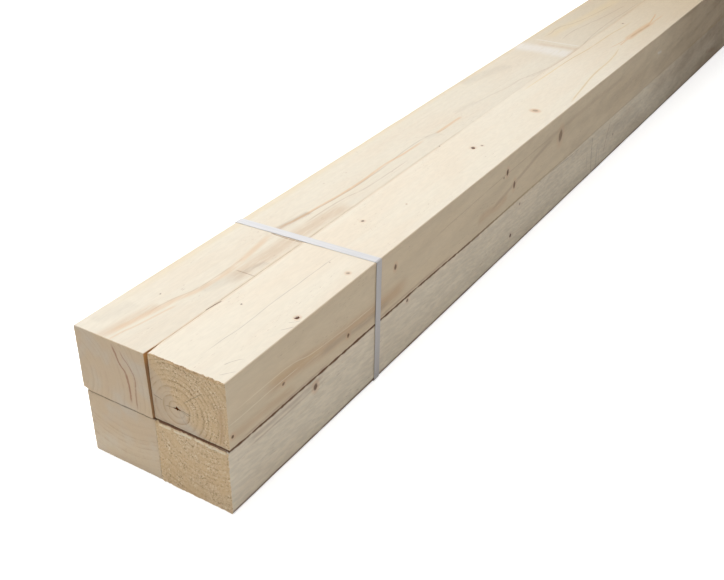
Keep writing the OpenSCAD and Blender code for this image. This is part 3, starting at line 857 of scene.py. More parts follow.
def crosscut_pine_ends(name, wood, settings):
    """Pine cut across the grain: browner than the faces, ringed, and torn where the saw was coarse."""
    material, tree, shader = new_material(name + "_crosscut_pine")
    place = row_place(tree)
    _, _, swell = knot_fields(tree, place, wood)
    line = growth(tree, place, wood, swell)
    parts = add(tree, "SeparateXYZ", {0: place})
    side_y, side_z, lean = wood.rough
    # The torn part of the end lies on the side of the pith that side_y and side_z point to
    offset = lean - side_y * wood.pith_y - side_z * wood.pith_z if side_y or side_z else lean * WHOLE_END
    sideways = add(tree, "Math", {0: parts.outputs["Y"], 1: side_y, 2: offset}, operation="MULTIPLY_ADD")
    side = add(tree, "Math", {0: parts.outputs["Z"], 1: side_z, 2: sideways}, operation="MULTIPLY_ADD")
    patchy = add(tree, "TexNoise", {0: place, "Scale": 0.09, "Detail": 3.0})
    torn = add(tree, "Math", {0: patchy, 1: TEAR_WANDERS, 2: side}, operation="MULTIPLY_ADD")
    torn = add(tree, "MapRange", {0: torn, 1: TEAR_SETS_IN[0], 2: TEAR_SETS_IN[1]},
               interpolation_type="SMOOTHSTEP")
    shows = cloud(tree, place, period=(60, 11, 11), low=0.38, high=0.62, detail=3)
    height = add(tree, "MapRange", {0: parts.outputs["Z"], 1: wood.lines_fade[1], 2: wood.lines_fade[0],
                                    4: wood.end_lines})
    strength = add(tree, "Math", {0: shows, 1: RINGS_MORE, 2: RINGS_LEFT}, operation="MULTIPLY_ADD")
    strength = add(tree, "Math", {0: strength, 1: height}, operation="MULTIPLY")
    late = add(tree, "Math", {0: line, 1: strength}, operation="MULTIPLY")
    drift = cloud(tree, place, period=(60, 26, 26), low=0.4, high=0.7)
    colour = blend(tree, opaque(settings.end_wood), opaque(settings.end_pale), drift)
    # Torn fibre ends are 0.3 to 1 mm across. The largest are drawn, in clusters
    speckle = add(tree, "TexNoise", {0: place, "Scale": 0.7, "Detail": 3.0, "Roughness": 0.75})
    speckle = add(tree, "Math", {0: line, 1: SPECKLE_SHIFT * wood.end_lines, 2: speckle},
                  operation="MULTIPLY_ADD")
    pits = add(tree, "MapRange", {0: speckle, 1: PITS[0], 2: PITS[1]}, interpolation_type="SMOOTHSTEP")
    tufts = add(tree, "MapRange", {0: speckle, 1: TUFTS[0], 2: TUFTS[1]}, interpolation_type="SMOOTHSTEP")
    clusters = cloud(tree, place, period=(30, 13, 13), low=0.36, high=0.62, detail=3)
    clusters = add(tree, "Math", {0: clusters, 1: IN_CLUSTERS, 2: BETWEEN_CLUSTERS}, operation="MULTIPLY_ADD")
    coarse = add(tree, "Math", {0: torn, 1: clusters, 2: ON_CLEAN_END}, operation="MULTIPLY_ADD")
    for tone, mask, share in ((settings.torn_end, torn, TORN_TAN), (settings.torn_pit, pits, coarse),
                              (settings.torn_tuft, tufts, coarse)):
        amount = add(tree, "Math", {0: mask, 1: share}, operation="MULTIPLY")
        colour = blend(tree, colour, opaque(tone), amount)
    colour = blend(tree, colour, opaque(settings.end_line), late)
    colour = lay_streaks(tree, place, wood, colour, settings, END_FACES)
    tree.links.new(colour.outputs[2], shader.inputs["Base Color"])
    shader.inputs["Roughness"].default_value = 0.85
    shader.inputs["IOR"].default_value = 1.5
    relief = add(tree, "Math", {0: speckle, 1: coarse, 2: line}, operation="MULTIPLY_ADD")
    bump = add(tree, "Bump", {"Height": relief, "Strength": 0.6, "Distance": 0.3 * MM})
    tree.links.new(bump.outputs[0], shader.inputs["Normal"])
    return material


def split_pine(settings):
    """Pine that split along the grain: rough, and brown as painted shade, so that the checks read as deep."""
    material, _, shader = new_material("split_pine")
    shader.inputs["Base Color"].default_value = opaque(settings.split_shade)
    shader.inputs["Roughness"].default_value = 0.9
    shader.inputs["IOR"].default_value = 1.5
    # The fibres' open ends reflect hardly anything
    shader.inputs["Specular IOR Level"].default_value = 0.1
    return material


# How strongly painted shade greys the straps' right side, and the roughness between the drawn streaks and on
# them
MOST_SIDE_SHADE, STRAP_ROUGHNESS = 0.85, (0.3, 0.42)


def extruded_polypropylene(settings):
    """Polypropylene strap, drawn and rolled: milky white with a satin sheen and faint streaks along it."""
    material, tree, shader = new_material("white_polypropylene_strap")
    place = row_place(tree)
    drawn = cloud(tree, place, period=(0.8, 30, 30), low=0.3, high=0.7)
    colour = blend(tree, opaque(settings.colour), opaque(settings.veil), drawn)
    # The straps' right side is greyed by painted shade, like the studs' right side
    right = on_face(tree, add(tree, "SeparateXYZ", {0: place}), "right")
    side_shaded = add(tree, "Math", {0: right, 1: MOST_SIDE_SHADE}, operation="MULTIPLY")
    colour = blend(tree, colour, opaque(settings.side_shade_grey), side_shaded)
    tree.links.new(colour.outputs[2], shader.inputs["Base Color"])
    roughness = add(tree, "MapRange", {0: drawn, 3: STRAP_ROUGHNESS[0], 4: STRAP_ROUGHNESS[1]})
    tree.links.new(roughness.outputs[0], shader.inputs["Roughness"])
    shader.inputs["IOR"].default_value = 1.49
    return material


# Lines of the section's grid near an arris, in millimetres from it, close enough to draw its radius
ARRIS_LINES = (0, 0.3, 0.7, 1.2, 2.0, 3.2)
FACE_STEP = 1.25
# Lines across the stud near an end, in millimetres from it, and the step between them further in
END_LINES = (0, 0.35, 1.2, 2.4, 4, 6, 8.5, 11.5, 15, 19, 24, 30)
NEAR_STEP = 8
NEAR_REACH = 300
FAR_STEP = 20
# The first rings behind an end lean with its torn rim
LEANING_RINGS = 4
# How far the saw broke the arris round an end
END_INSET = 0.4
# How far back a chip may reach on the top face, so that a ledge is left before the stud above
MOST_BACK = 1.3
# Points closer than this to a face lie on it
TOUCHING = 0.01
# Turns from smooth to sharp shading, so that the arrises stay crisp
SHARP = math.radians(38)


def spaced(length, edge_lines, step):
    """Lines over a length: the close ones at both its ends and even ones between."""
    inner = length - 2 * edge_lines[-1]
    count = max(1, round(inner / step))
    middle = [edge_lines[-1] + inner * k / count for k in range(1, count)]
    return np.array([*edge_lines, *middle, *[length - e for e in reversed(edge_lines)]])


def stations(length):
    """Where the stud's rings stand along it: close at both ends and wider apart between."""
    half = [*END_LINES, *np.arange(END_LINES[-1] + NEAR_STEP, NEAR_REACH, NEAR_STEP)]
    inner = length - 2 * NEAR_REACH
    count = round(inner / FAR_STEP)
    middle = [NEAR_REACH + inner * k / count for k in range(count + 1)]
    return np.array([*half, *middle, *[length - h for h in reversed(half)]])


def ripple(points, period, seed):
    """Smooth noise from -1 to 1 at each point, with its own period along each axis."""
    scaled = np.asarray(points, float) / np.asarray(period, float) + seed * 17.3
    return np.array([noise.noise(Vector(p)) for p in scaled])


def rounded(across, up, width, height, radii):
    """Moves the points of a section's grid so that its corners have the radii given. All in millimetres."""
    across, up = across.copy(), up.copy()
    corners = ((False, False), (False, True), (True, True), (True, False))
    for (far_side, top_side), radius in zip(corners, radii):
        a = width - across if far_side else across
        b = height - up if top_side else up
        inside = (a < radius) & (b < radius)
        p = np.where(inside, (a - radius) / radius, 0)
        q = np.where(inside, (b - radius) / radius, 0)
        a = np.where(inside, radius * (1 + p * np.sqrt(1 - q * q / 2)), a)
        b = np.where(inside, radius * (1 + q * np.sqrt(1 - p * p / 2)), b)
        across = width - a if far_side else a
        up = height - b if top_side else b
    return across, up


# Over how many millimetres the tearing of an end sets in, and how torn its clean part is
TEAR_RAMP, LEAST_TORN = 14, 0.12


def torn_share(points, low, wood):
    """How torn each point of an end is, from 0 to 1, by the side of the pith it lies on."""
    side_y, side_z, lean = wood.rough
    if not (side_y or side_z):
        return np.full(len(points), 1.0 if lean > 0 else LEAST_TORN)
    y, z = points[:, 1] + low[1] - wood.pith_y, points[:, 2] + low[2] - wood.pith_z
    return np.clip((y * side_y + z * side_z + lean) / TEAR_RAMP, LEAST_TORN, 1)


# The upper pair lies tight along its seam, with crisp arrises there past the front end
SEAM_CLOSES = 0.19
LEVEL_CLOSES = 0.17
SEAM_ARRIS = 0.08
SEAM_TIGHT_FROM = 18
# The saw left the pair's edges a little crooked at the front end
SNIPE_LENGTH = 20
# How far each edge of the gap stands back from the seam there, at the foot, halfway up and at the top
SNIPE_RIGHT = (0.05, -0.45, 0.05)
SNIPE_LEFT = (-0.3, 0.5, 1.3)
# The part of the upper left stud's lower arris that is rubbed flat
RUBBED_LENGTH, RUBBED_WIDTH, RUBBED_HEIGHT = 260, 9, 2.5


def closed(x):
    """How closed the level seam is at x, from 0 to 1."""
    return min(1, max(0, (x - SEAM_OPEN) / (SEAM_CLOSED - SEAM_OPEN)))


def drop(x, y, width):
    """How much lower the level seam runs at x, most of all on the right side."""
    return np.interp(x, *zip(*SEAM_DROP)) * (1 - y / width)


def tight(x):
    """How tight the upper pair's seam is at x, from 0 at the front end to 1 where it has closed."""
    return min(1, max(0, x / SEAM_TIGHT_FROM)) ** 1.5


def snipe(x, z, height, depths):
    """How far the gap's edge stands back here."""
    return max(0, 1 - x / SNIPE_LENGTH) ** 1.4 * np.interp(z, (0, height / 2, height), depths)


def fit_right(x, y, z, width, height):
    """The upper right stud reaches to both seams, less its snipe."""
    lower = drop(x, y, width) + LEVEL_CLOSES * closed(x)
    y = y + (SEAM_SHIFT + SEAM_CLOSES * tight(x) - snipe(x, z, height, SNIPE_RIGHT)) * y / width
    return y, z - lower * (1 - z / height)


def fit_lower_right(x, y, z, width, height):
    """The lower right stud reaches to the level seam."""
    return y, z + (LEVEL_CLOSES * closed(x) - drop(x, y, width)) * z / height


def fit_left(x, y, z, width, height):
    """The upper left stud reaches to the seam, less its snipe, and its lower left arris is rubbed flat."""
    share = max(0, 1 - x / RUBBED_LENGTH)
    y = y + (SEAM_SHIFT - SEAM_CLOSES * tight(x) + snipe(x, z, height, SNIPE_LEFT)) * (1 - y / width)
    if share == 0:
        return y, z
    wide, high = RUBBED_WIDTH * share, RUBBED_HEIGHT * share
    size = math.hypot(wide, high)
    normal_y, normal_z = -high / size, wide / size
    short = (y - (width - wide)) * normal_y + z * normal_z
    push = np.maximum(0, -short)
    return y + push * normal_y, z + push * normal_z


WEAR = {"stud_upper_right": fit_right, "stud_upper_left": fit_left, "stud_lower_right": fit_lower_right}
# The corners of the studs that lie at a seam, with how far it has closed, and the sides that lie in a seam
SEAM_CORNERS = {"stud_upper_right": ((2, tight), (0, closed)), "stud_upper_left": ((1, tight),),
                "stud_lower_right": ((1, closed),)}
SEAM_SIDES = {"stud_upper_right": (0, 1), "stud_upper_left": (3,), "stud_lower_right": (2,)}


# Wear of the arrises: how much their radii vary and over what length, and how deep chips are and how often
WEAR_REACH, WEAR_PERIOD = 0.45, 38
CHIP_SIZE, CHIP_PERIOD, CHIP_FROM = 3.2, 7, 0.42
# How far apart the four arrises lie in the noise for each
WEAR_APART, CHIPS_APART = 3.1, 5.7
# Periods of the face waves and of the saw's short ones, and how much of both is left in a seam
WAVE_PERIOD, FUZZ_PERIOD, SEAM_WAVES = (160, 30, 30), (24, 5, 5), 0.1


def stud_mesh(name, wood, settings):
    """One stud as a closed mesh: wavy faces, worn and chipped arrises, and sawn ends with their own slot."""
    low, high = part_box(name)
    low, high = np.array(low) / MM, np.array(high) / MM
    length, width, height = high - low
    lines_y = spaced(width, ARRIS_LINES, FACE_STEP)
    lines_z = spaced(height, ARRIS_LINES, FACE_STEP)
    across, up = (grid.ravel() for grid in np.meshgrid(lines_y, lines_z, indexing="ij"))
    rows, cols = len(lines_y), len(lines_z)
    index = np.arange(rows * cols).reshape(rows, cols)
    rim = np.concatenate([index[:-1, 0], index[-1, :-1], index[:0:-1, -1], index[0, :0:-1]])
    side_of = np.repeat(np.arange(4), (rows - 1, cols - 1, rows - 1, cols - 1))
    along = stations(length)
    seed = STUDS.index(name) + 1
    wear_points = WEAR.get(name)

    def section(x, which):
        """The section at x, for the grid points in which, as places in the stud's own box."""
        radii = []
        for k, radius in enumerate(wood.radii):
            wear = 1 + WEAR_REACH * noise.noise(Vector((x / WEAR_PERIOD, WEAR_APART * k, seed)))
            chip = noise.noise(Vector((x / CHIP_PERIOD, CHIPS_APART * k, seed + 9))) - CHIP_FROM
            radii.append(radius * wear + max(0, chip) * CHIP_SIZE)
        for corner, fitted in SEAM_CORNERS.get(name, ()):
            radii[corner] += (SEAM_ARRIS - radii[corner]) * fitted(x)
        y, z = rounded(across[which], up[which], width, height, radii)
        if wear_points:
            y, z = wear_points(x, y, z, width, height)
        return np.column_stack([np.full(len(y), x), y, z])

    body = np.vstack([section(x, rim) for x in along])
    # Face waves go into the wood, so that the stud stays inside its box. The upper pair's seam has hardly any
    inward = np.array([(0, 0, 1), (0, -1, 0), (0, 0, -1), (0, 1, 0)], float)[side_of]
    inward[np.isin(side_of, SEAM_SIDES.get(name, ()))] *= SEAM_WAVES
    wave = settings.face_wave / MM * (0.5 + 0.5 * ripple(body, WAVE_PERIOD, seed))
    fuzz = settings.fuzz / MM * (1 + ripple(body, FUZZ_PERIOD, seed + 3))
    body += np.tile(inward, (len(along), 1)) * (wave + fuzz)[:, None]
    caps = []
    n_rim = len(rim)
    for ring, facing in ((0, 1), (len(along) - 1, -1)):
        flat = section(along[ring], index.ravel())
        cap, back = end_cap(flat, facing, low, wood, settings, seed, width, height)
        caps.append(cap)
        for k in range(LEANING_RINGS):
            span = slice((ring + facing * k) * n_rim, (ring + facing * k + 1) * n_rim)
            lean = (cap[rim, 0] - along[ring] + facing * back[rim]) * (1 - k / LEANING_RINGS)
            body[span, 0] = along[ring] + facing * END_LINES[k + 1] + lean

    here = np.arange(n_rim)
    after = np.roll(here, -1)
    starts = n_rim * np.arange(len(along) - 1)[:, None]
    long_faces = np.stack([starts + here, starts + after, starts + n_rim + after, starts + n_rim + here],
                          axis=-1).reshape(-1, 4)
    near, far = len(body), len(body) + rows * cols
    last = (len(along) - 1) * n_rim
    arrises = np.vstack([
        np.column_stack([here, near + rim[here], near + rim[after], after]),
        np.column_stack([far + rim[here], last + here, last + after, far + rim[after]]),
    ])
    quads = np.stack([index[:-1, :-1], index[:-1, 1:], index[1:, 1:], index[1:, :-1]], axis=-1).reshape(-1, 4)
    ends = np.vstack([near + quads, far + quads[:, ::-1]])
    mesh = bpy.data.meshes.new(name + "_sawn")
    points = (np.vstack([body, *caps]) + low) * MM
    mesh.from_pydata(points.tolist(), [], np.vstack([long_faces, arrises, ends]).tolist())
    slots = np.zeros(len(mesh.polygons), np.int32)
    slots[len(long_faces):] = 1
    mesh.polygons.foreach_set("material_index", slots)
    mesh.validate()
    return mesh


# An end's relief: the saw's wave, the torn fibres' period, and the nibbles of the rim. The nibbles have a
# period, a width, a depth and what of them is left on a clean end
SAW_WAVE, SAW_PERIOD, TEAR_PERIOD = 0.2, (50, 26, 26), (5, 1.9, 1.9)
NIBBLE_PERIOD, NIBBLE_WIDTH, NIBBLE_DEPTH, NIBBLE_LEFT = (5, 2.2, 2.2), 0.9, 0.9, 0.35
# The ragged bevel of the top edge: its mean, its reach, its least and its greatest share of the chipping, its
# period, and how far down it fades out
BEVEL_MEAN, BEVEL_REACH, BEVEL_LIMITS = 0.8, 0.9, (0.1, 1.4)
BEVEL_PERIOD, BEVEL_FADE = (5, 5, 50), 3


def end_cap(cap, facing, low, wood, settings, seed, width, height):
    """Roughens one end of a stud: a gentle saw wave, torn fibres, and a chipped rim."""
    across, up = cap[:, 1].copy(), cap[:, 2].copy()
    middle = np.array([width / 2, height / 2])
    off = cap[:, 1:] - middle
    reach = np.maximum(np.abs(off).max(axis=1, keepdims=True), 1)
    cap[:, 1:] = middle + off * (1 - END_INSET / reach)
    rough = torn_share(cap, low, wood)
    saw = SAW_WAVE * (1 + ripple(cap, SAW_PERIOD, seed + 20 * facing))
    tear = settings.end_tear / MM * rough * np.abs(ripple(cap, TEAR_PERIOD, seed + 31 * facing))
    inside = np.minimum(np.minimum(across, width - across), np.minimum(up, height - up))
    nibble = np.maximum(0, ripple(cap, NIBBLE_PERIOD, seed + 41 * facing))
    nibble = nibble * np.exp(-np.maximum(inside, 0) / NIBBLE_WIDTH)
    cap[:, 0] += facing * (saw + tear + NIBBLE_DEPTH * nibble * (NIBBLE_LEFT + rough))
    # The top edge is chipped into a ragged bevel: the end's rim drops, and the top face's rim draws back
    ragged = BEVEL_MEAN + BEVEL_REACH * ripple(cap, BEVEL_PERIOD, seed + 51 * facing)
    chip = wood.chipped * np.clip(ragged, *BEVEL_LIMITS)
    cap[:, 2] -= chip * np.exp(-(height - up) / BEVEL_FADE)
    return cap, np.minimum(chip, MOST_BACK) * (up > height - TOUCHING)


# The heart checks' rays as length and angle on the end, and how wide they are where they meet
CHECK_RAYS = ((4.2, 350), (2.2, 75), (4.4, 187), (1.9, 265))
CHECK_WAIST = 1.3
CHECK_DEPTH = 8
# Each loose knot's middle from the front end and in Y, and how its crescent is turned
LOOSE_KNOTS = ((102, -68.25, 60), (478, -34.25, 80))
KNOT_RADIUS = 2.2
KNOT_DEPTH = 2.5
# The crescent's outer and inner arc in degrees, and the inner one's offset and size beside the outer's
OUTER_ARC, INNER_ARC = range(75, 286, 15), range(270, 89, -20)
INNER_OFF, INNER_SIZE = 0.5, 0.9
# How far a cutter stands out past the wood
CUTTER_PAST = 2
# The material slot of the wood inside them
SPLIT_SLOT = 2


def prism(shape, outline, run):
    """Adds a closed prism of split wood to a bmesh, from an outline in millimetres and the vector it runs."""
    near = [shape.verts.new(Vector(p) * MM) for p in outline]
    far = [shape.verts.new((Vector(p) + Vector(run)) * MM) for p in outline]
    shape.faces.new(near)
    shape.faces.new(far)
    for k in range(len(near)):
        j = (k + 1) % len(near)
        shape.faces.new((near[k], near[j], far[j], far[k]))
    for face in shape.faces:
        face.material_index = SPLIT_SLOT


def heart_star(shape, x, run, wood):
    """The star of splits at the pith, from x along the run."""
    outline = []
    for k, (length, angle) in enumerate(CHECK_RAYS):
        _, following = CHECK_RAYS[(k + 1) % len(CHECK_RAYS)]
        between = math.radians((angle + following + 360 * (following < angle)) / 2)
        for radius, turn in ((length, math.radians(angle)), (CHECK_WAIST, between)):
            outline.append((x, wood.pith_y + radius * math.cos(turn), wood.pith_z + radius * math.sin(turn)))
    prism(shape, outline, (run, 0, 0))


def crescent(shape, x, y, turn):
    """The hollow that is left beside a shrunken knot."""
    points = [(KNOT_RADIUS * math.cos(a), KNOT_RADIUS * math.sin(a)) for a in map(math.radians, OUTER_ARC)]
    points += [(KNOT_RADIUS * (INNER_OFF + INNER_SIZE * math.cos(a)), KNOT_RADIUS * INNER_SIZE * math.sin(a))
               for a in map(math.radians, INNER_ARC)]
    c, s = math.cos(math.radians(turn)), math.sin(math.radians(turn))
    outline = [(FRONT_X + x + c * a - s * b, y + s * a + c * b, TOP_Z - KNOT_DEPTH) for a, b in points]
    prism(shape, outline, (0, 0, KNOT_DEPTH + CUTTER_PAST))


def carve_heartwood(piece, wood, settings):
    """Cuts the heart checks and the loose knots' hollows into the upper right stud."""
    shape = bmesh.new()
    low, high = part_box("stud_upper_right")
    heart_star(shape, low.x / MM - CUTTER_PAST, CHECK_DEPTH + CUTTER_PAST, wood)
    heart_star(shape, high.x / MM - CHECK_DEPTH, CHECK_DEPTH + CUTTER_PAST, wood)
    for x, y, turn in LOOSE_KNOTS:
        crescent(shape, x, y, turn)
    bmesh.ops.recalc_face_normals(shape, faces=shape.faces)
    mesh = bpy.data.meshes.new("cutter")
    shape.to_mesh(mesh)
    shape.free()
    piece.data.materials.append(split_pine(settings))
    for material in piece.data.materials:
        mesh.materials.append(material)
    cutter = bpy.data.objects.new("cutter", mesh)
    bpy.context.scene.collection.objects.link(cutter)
    modifier = piece.modifiers.new("carve", "BOOLEAN")
    modifier.operation = "DIFFERENCE"
    modifier.solver = "EXACT"
    modifier.object = cutter
    carved = bpy.data.meshes.new_from_object(piece.evaluated_get(bpy.context.evaluated_depsgraph_get()))
    piece.modifiers.clear()
    plain = piece.data
    piece.data = carved
    carved.name = plain.name
    bpy.data.meshes.remove(plain)
    bpy.data.objects.remove(cutter)
    bpy.data.meshes.remove(mesh)


# The baking map's layout, in shares of its side: strips for half of each long face, and a row for both ends
STRIP_PITCH, STRIP_HEIGHT, STRIP_LENGTH = 0.092, 0.082, 0.97
END_SIDE, END_ROW = 0.235, 0.75
# The map's left margin, the first strip's foot, and the room between the two ends
MAP_MARGIN, STRIP_FOOT, END_APART = 0.01, 0.008, 0.02
# A face whose normal runs along the stud by more than this is one of an end's
END_NORMAL = 0.7


def bake_map(mesh, low, high):
    """A UV map for baking that gives the ends room: each long face in two strips, and the ends above them."""
    points = np.empty(len(mesh.vertices) * 3)
    mesh.vertices.foreach_get("co", points)
    corner = np.empty(len(mesh.loops), np.int32)
    mesh.loops.foreach_get("vertex_index", corner)
    normals = np.empty(len(mesh.polygons) * 3)
    mesh.polygons.foreach_get("normal", normals)
    sizes = np.empty(len(mesh.polygons), np.int32)
    mesh.polygons.foreach_get("loop_total", sizes)
    low, high = np.array(low), np.array(high)
    share = (points.reshape(-1, 3)[corner] - low) / (high - low)
    normals = normals.reshape(-1, 3)
    owner = np.repeat(np.arange(len(sizes)), sizes)
    middle_x = np.add.reduceat(share[:, 0], np.concatenate([[0], np.cumsum(sizes)[:-1]])) / sizes
    is_end = np.abs(normals[:, 0]) > END_NORMAL
    level = np.abs(normals[:, 2]) >= np.abs(normals[:, 1])
    face = np.where(level, 0, 2) + np.where(level, normals[:, 2] > 0, normals[:, 1] > 0)
    half = (middle_x > 0.5).astype(int)
    end, level, face, half = is_end[owner], level[owner], face[owner], half[owner]
    behind = (normals[:, 0] > 0)[owner]
    strip_u = MAP_MARGIN + STRIP_LENGTH * (2 * share[:, 0] - half)
    strip_v = STRIP_FOOT + STRIP_PITCH * (2 * face + half)
    strip_v = strip_v + STRIP_HEIGHT * np.where(level, share[:, 1], share[:, 2])
    end_u = MAP_MARGIN + (END_SIDE + END_APART) * behind + END_SIDE * share[:, 1]
    end_v = END_ROW + END_SIDE * share[:, 2]
    places = np.column_stack([np.where(end, end_u, strip_u), np.where(end, end_v, strip_v)])
    mesh.uv_layers.new(name="OFBake").data.foreach_set("uv", places.ravel())


class PINE_OT_studs(bpy.types.Operator):
    """Builds the four sawn studs over their CAD solids"""

    bl_idname = "pine.studs"
    bl_label = "Sawn studs"

    def execute(self, context):
        settings = context.scene.pine_studs
        for name in STUDS:
            wood = WOODS[name]
            mesh = stud_mesh(name, wood, settings)
            mesh.materials.append(sawn_pine_faces(name, wood, settings))
            mesh.materials.append(crosscut_pine_ends(name, wood, settings))
            piece = new_piece(name + "_sawn", mesh, name)
            if name == "stud_upper_right":
                carve_heartwood(piece, wood, settings)
            bake_map(piece.data, *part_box(name))
            shade(piece.data)
        return {"FINISHED"}


def new_piece(name, mesh, node):
    """A piece of the visual model that stands for a CAD node and rides with the body."""
    piece = bpy.data.objects.new(name, mesh)
    bpy.context.scene.collection.objects.link(piece)
    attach(piece, "root")
    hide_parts(node)
    return piece


def shade(mesh):
    """Smooth shading with crisp arrises."""
    mesh.polygons.foreach_set("use_smooth", np.ones(len(mesh.polygons), bool))
    mesh.update()
    mesh.set_sharp_from_angle(angle=SHARP)


# How far each strap runs askew over the bundle, in degrees
SKEWS = {"strap_near": 2.5, "strap_middle": 0.8, "strap_far": 1.4}
# How far each strap's foot lies nearer the front than its top, over the height
LEANS = {"strap_near": 0.018, "strap_middle": 0, "strap_far": -0.006}
# Steps along a strap and across it, and the round of its edges, in millimetres
STRAP_STEP = 0.5
STRAP_EDGE = 0.15
# Distance between the ridges that the welding jaws press in, and their depth
WELD_PITCH, WELD_PRESS = 1.6, 0.15


def strap_bends(settings, skew):
    """The middles of a strap's bends round the section, from the lower right one on, and the section's."""
    (_, right, bottom), (_, upper_left, top) = (
        np.minimum(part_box("stud_upper_right")[0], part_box("stud_lower_right")[0]) / MM,
        np.array(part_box("stud_upper_left")[1]) / MM)
    _, lower_left, ledge = np.array(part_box("stud_lower_left")[1]) / MM
    middle = (right + max(upper_left, lower_left)) / 2
    half, width = max(upper_left, lower_left) - middle, settings.width / MM
    ease = (half + width / 2 * math.sin(skew)) / math.cos(skew) + settings.ease / MM - half
    bend = settings.bend / MM
    low_y, knee_y = right - ease + bend, lower_left + ease - bend
    high_y = upper_left + ease - bend
    floor_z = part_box("stud_upper_left")[0].z / MM
    knee = (high_y, floor_z + bend) if high_y >= knee_y else (knee_y, ledge - bend)
    bends = [(low_y, bottom + bend), (knee_y, bottom + bend), knee, (high_y, top - bend), (low_y, top - bend)]
    return [np.array(b) for b in bends], middle


def outward(a, b):
    """The direction square to the side from a to b that points out of the section."""
    run = (b - a) / np.linalg.norm(b - a)
    return np.array([run[1], -run[0]])


def taut_path(bends, radius):
    """The closed line at a radius round the bends, as points and outward directions a step apart."""
    places, normals = [], []
    for k, middle in enumerate(bends):
        before, after = bends[k - 1], bends[(k + 1) % len(bends)]
        start, stop = (math.atan2(*outward(a, b)[::-1]) for a, b in ((before, middle), (middle, after)))
        stop += 2 * math.pi * (stop < start - 1e-6)
        count = max(2, math.ceil((stop - start) * radius / (0.5 * STRAP_STEP)))
        for angle in np.linspace(start, stop, count + 1):
            normal = np.array([math.cos(angle), math.sin(angle)])
            places.append(middle + radius * normal)
            normals.append(normal)
        straight = np.linalg.norm(after - middle)
        count = math.ceil(straight / STRAP_STEP)
        for share in np.arange(1, count) / count:
            places.append(middle + (after - middle) * share + radius * normal)
            normals.append(normal)
    return np.array(places), np.array(normals)


def band(places, normals, settings, looped, press):
    """A flat band along a path in Y and Z, as vertices and faces. press(s, v) is how far its top is sunk."""
    half, thick = settings.width / MM / 2, settings.thickness / MM / 2
    across = np.linspace(-half + STRAP_EDGE, half - STRAP_EDGE, round(2 * half / STRAP_STEP) + 1)
    run = np.concatenate([[0], np.cumsum(np.linalg.norm(np.diff(places, axis=0), axis=1))])
    v = np.concatenate([across, [half, half, half - STRAP_EDGE, -half + STRAP_EDGE, -half, -half]])
    lift = np.concatenate([np.full(len(across), thick),
                           [thick - STRAP_EDGE, STRAP_EDGE - thick, -thick, -thick, STRAP_EDGE - thick,
                            thick - STRAP_EDGE]])
    heights = np.tile(lift, (len(places), 1))
    heights[:, : len(across)] -= press(run[:, None], across[None, :])
    points = places[:, None, :] + normals[:, None, :] * heights[:, :, None]
    vertices = np.concatenate([np.broadcast_to(v, heights.shape)[:, :, None], points], axis=2).reshape(-1, 3)
    n = len(v)
    rings = len(places)
    start = n * np.arange(rings if looped else rings - 1)[:, None]
    here, after = np.arange(n), np.roll(np.arange(n), -1)
    following = (start + n) % (n * rings)
    faces = np.stack([start + here, following + here, following + after, start + after], axis=-1)
    faces = faces.reshape(-1, 4).tolist()
    if not looped:
        faces += [list(range(n)), list(range(n * (rings - 1), n * rings))[::-1]]
    return vertices, faces


def strap_mesh(name, settings):
    """One strap: the embossed loop, and its welded second layer and loose tail on the upper left side."""
    low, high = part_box(name)
    skew = math.radians(SKEWS[name])
    bends, middle_y = strap_bends(settings, skew)
    thick, emboss, pitch = settings.thickness / MM, settings.emboss / MM, settings.waffle / MM
    bend = settings.bend / MM

    def waffle(s, v):
        return emboss * np.abs(np.sin(math.pi * (s + v) / pitch) * np.sin(math.pi * (s - v) / pitch))

    loop, loop_faces = band(*taut_path(bends, bend + thick / 2), settings, True, waffle)
    top, knee = bends[3], bends[2]
    down = (knee - top) / np.linalg.norm(knee - top)
    side = -outward(top, knee)
    start, weld, tail = (x / MM for x in (settings.weld_down, settings.weld_length, settings.tail))
    steps = np.arange(start, start + weld + tail + 0.01, STRAP_STEP / 2)[::-1]
    rise = settings.tail_off / MM * np.clip((steps - start - weld) / tail, 0, 1)
    places = top + steps[:, None] * down + side * (bend + 1.5 * thick + rise)[:, None]

    def jaws(s, v):
        welded = (s > tail + 1) & (s < tail + weld - 1)
        return np.where(welded, WELD_PRESS * (0.5 + 0.5 * np.cos(2 * math.pi * s / WELD_PITCH)), waffle(s, v))

    layer, layer_faces = band(places, np.tile(side, (len(places), 1)), settings, False, jaws)
    faces = loop_faces + [[i + len(loop) for i in face] for face in layer_faces]
    points = np.vstack([loop, layer]) - (0, middle_y, 0)
    mesh = bpy.data.meshes.new(name + "_drawn")
    mesh.from_pydata((points * MM).tolist(), [], faces)
    centre = Vector(((low.x + high.x) / 2, middle_y * MM, 0))
    mesh.transform(Matrix.Translation(centre) @ Matrix.Rotation(skew, 4, "Z"))
    lean = Matrix.Identity(4)
    lean[0][2], lean[0][3] = LEANS[name], -LEANS[name] * high.z
    mesh.transform(lean)
    mesh.validate()
    return mesh


class PINE_OT_straps(bpy.types.Operator):
    """Builds the three embossed and welded straps over their CAD solids"""

    bl_idname = "pine.straps"
    bl_label = "Plastic straps"

    def execute(self, context):
        settings = context.scene.pine_straps
        material = extruded_polypropylene(settings)
        for name in STRAPS:
            mesh = strap_mesh(name, settings)
            mesh.materials.append(material)
            piece = new_piece(name + "_drawn", mesh, name)
            shade(piece.data)
        return {"FINISHED"}


def softbox(scene, name, place, target, side, power):
    """A square studio softbox that looks at a target."""
    lamp = bpy.data.lights.new(name, "AREA")
    lamp.shape = "SQUARE"
    lamp.size = side
    lamp.energy = power
    holder = bpy.data.objects.new(name, lamp)
    holder.location = place
    holder.rotation_euler = (Vector(target) - Vector(place)).to_track_quat("-Z", "Y").to_euler()
    scene.collection.objects.link(holder)


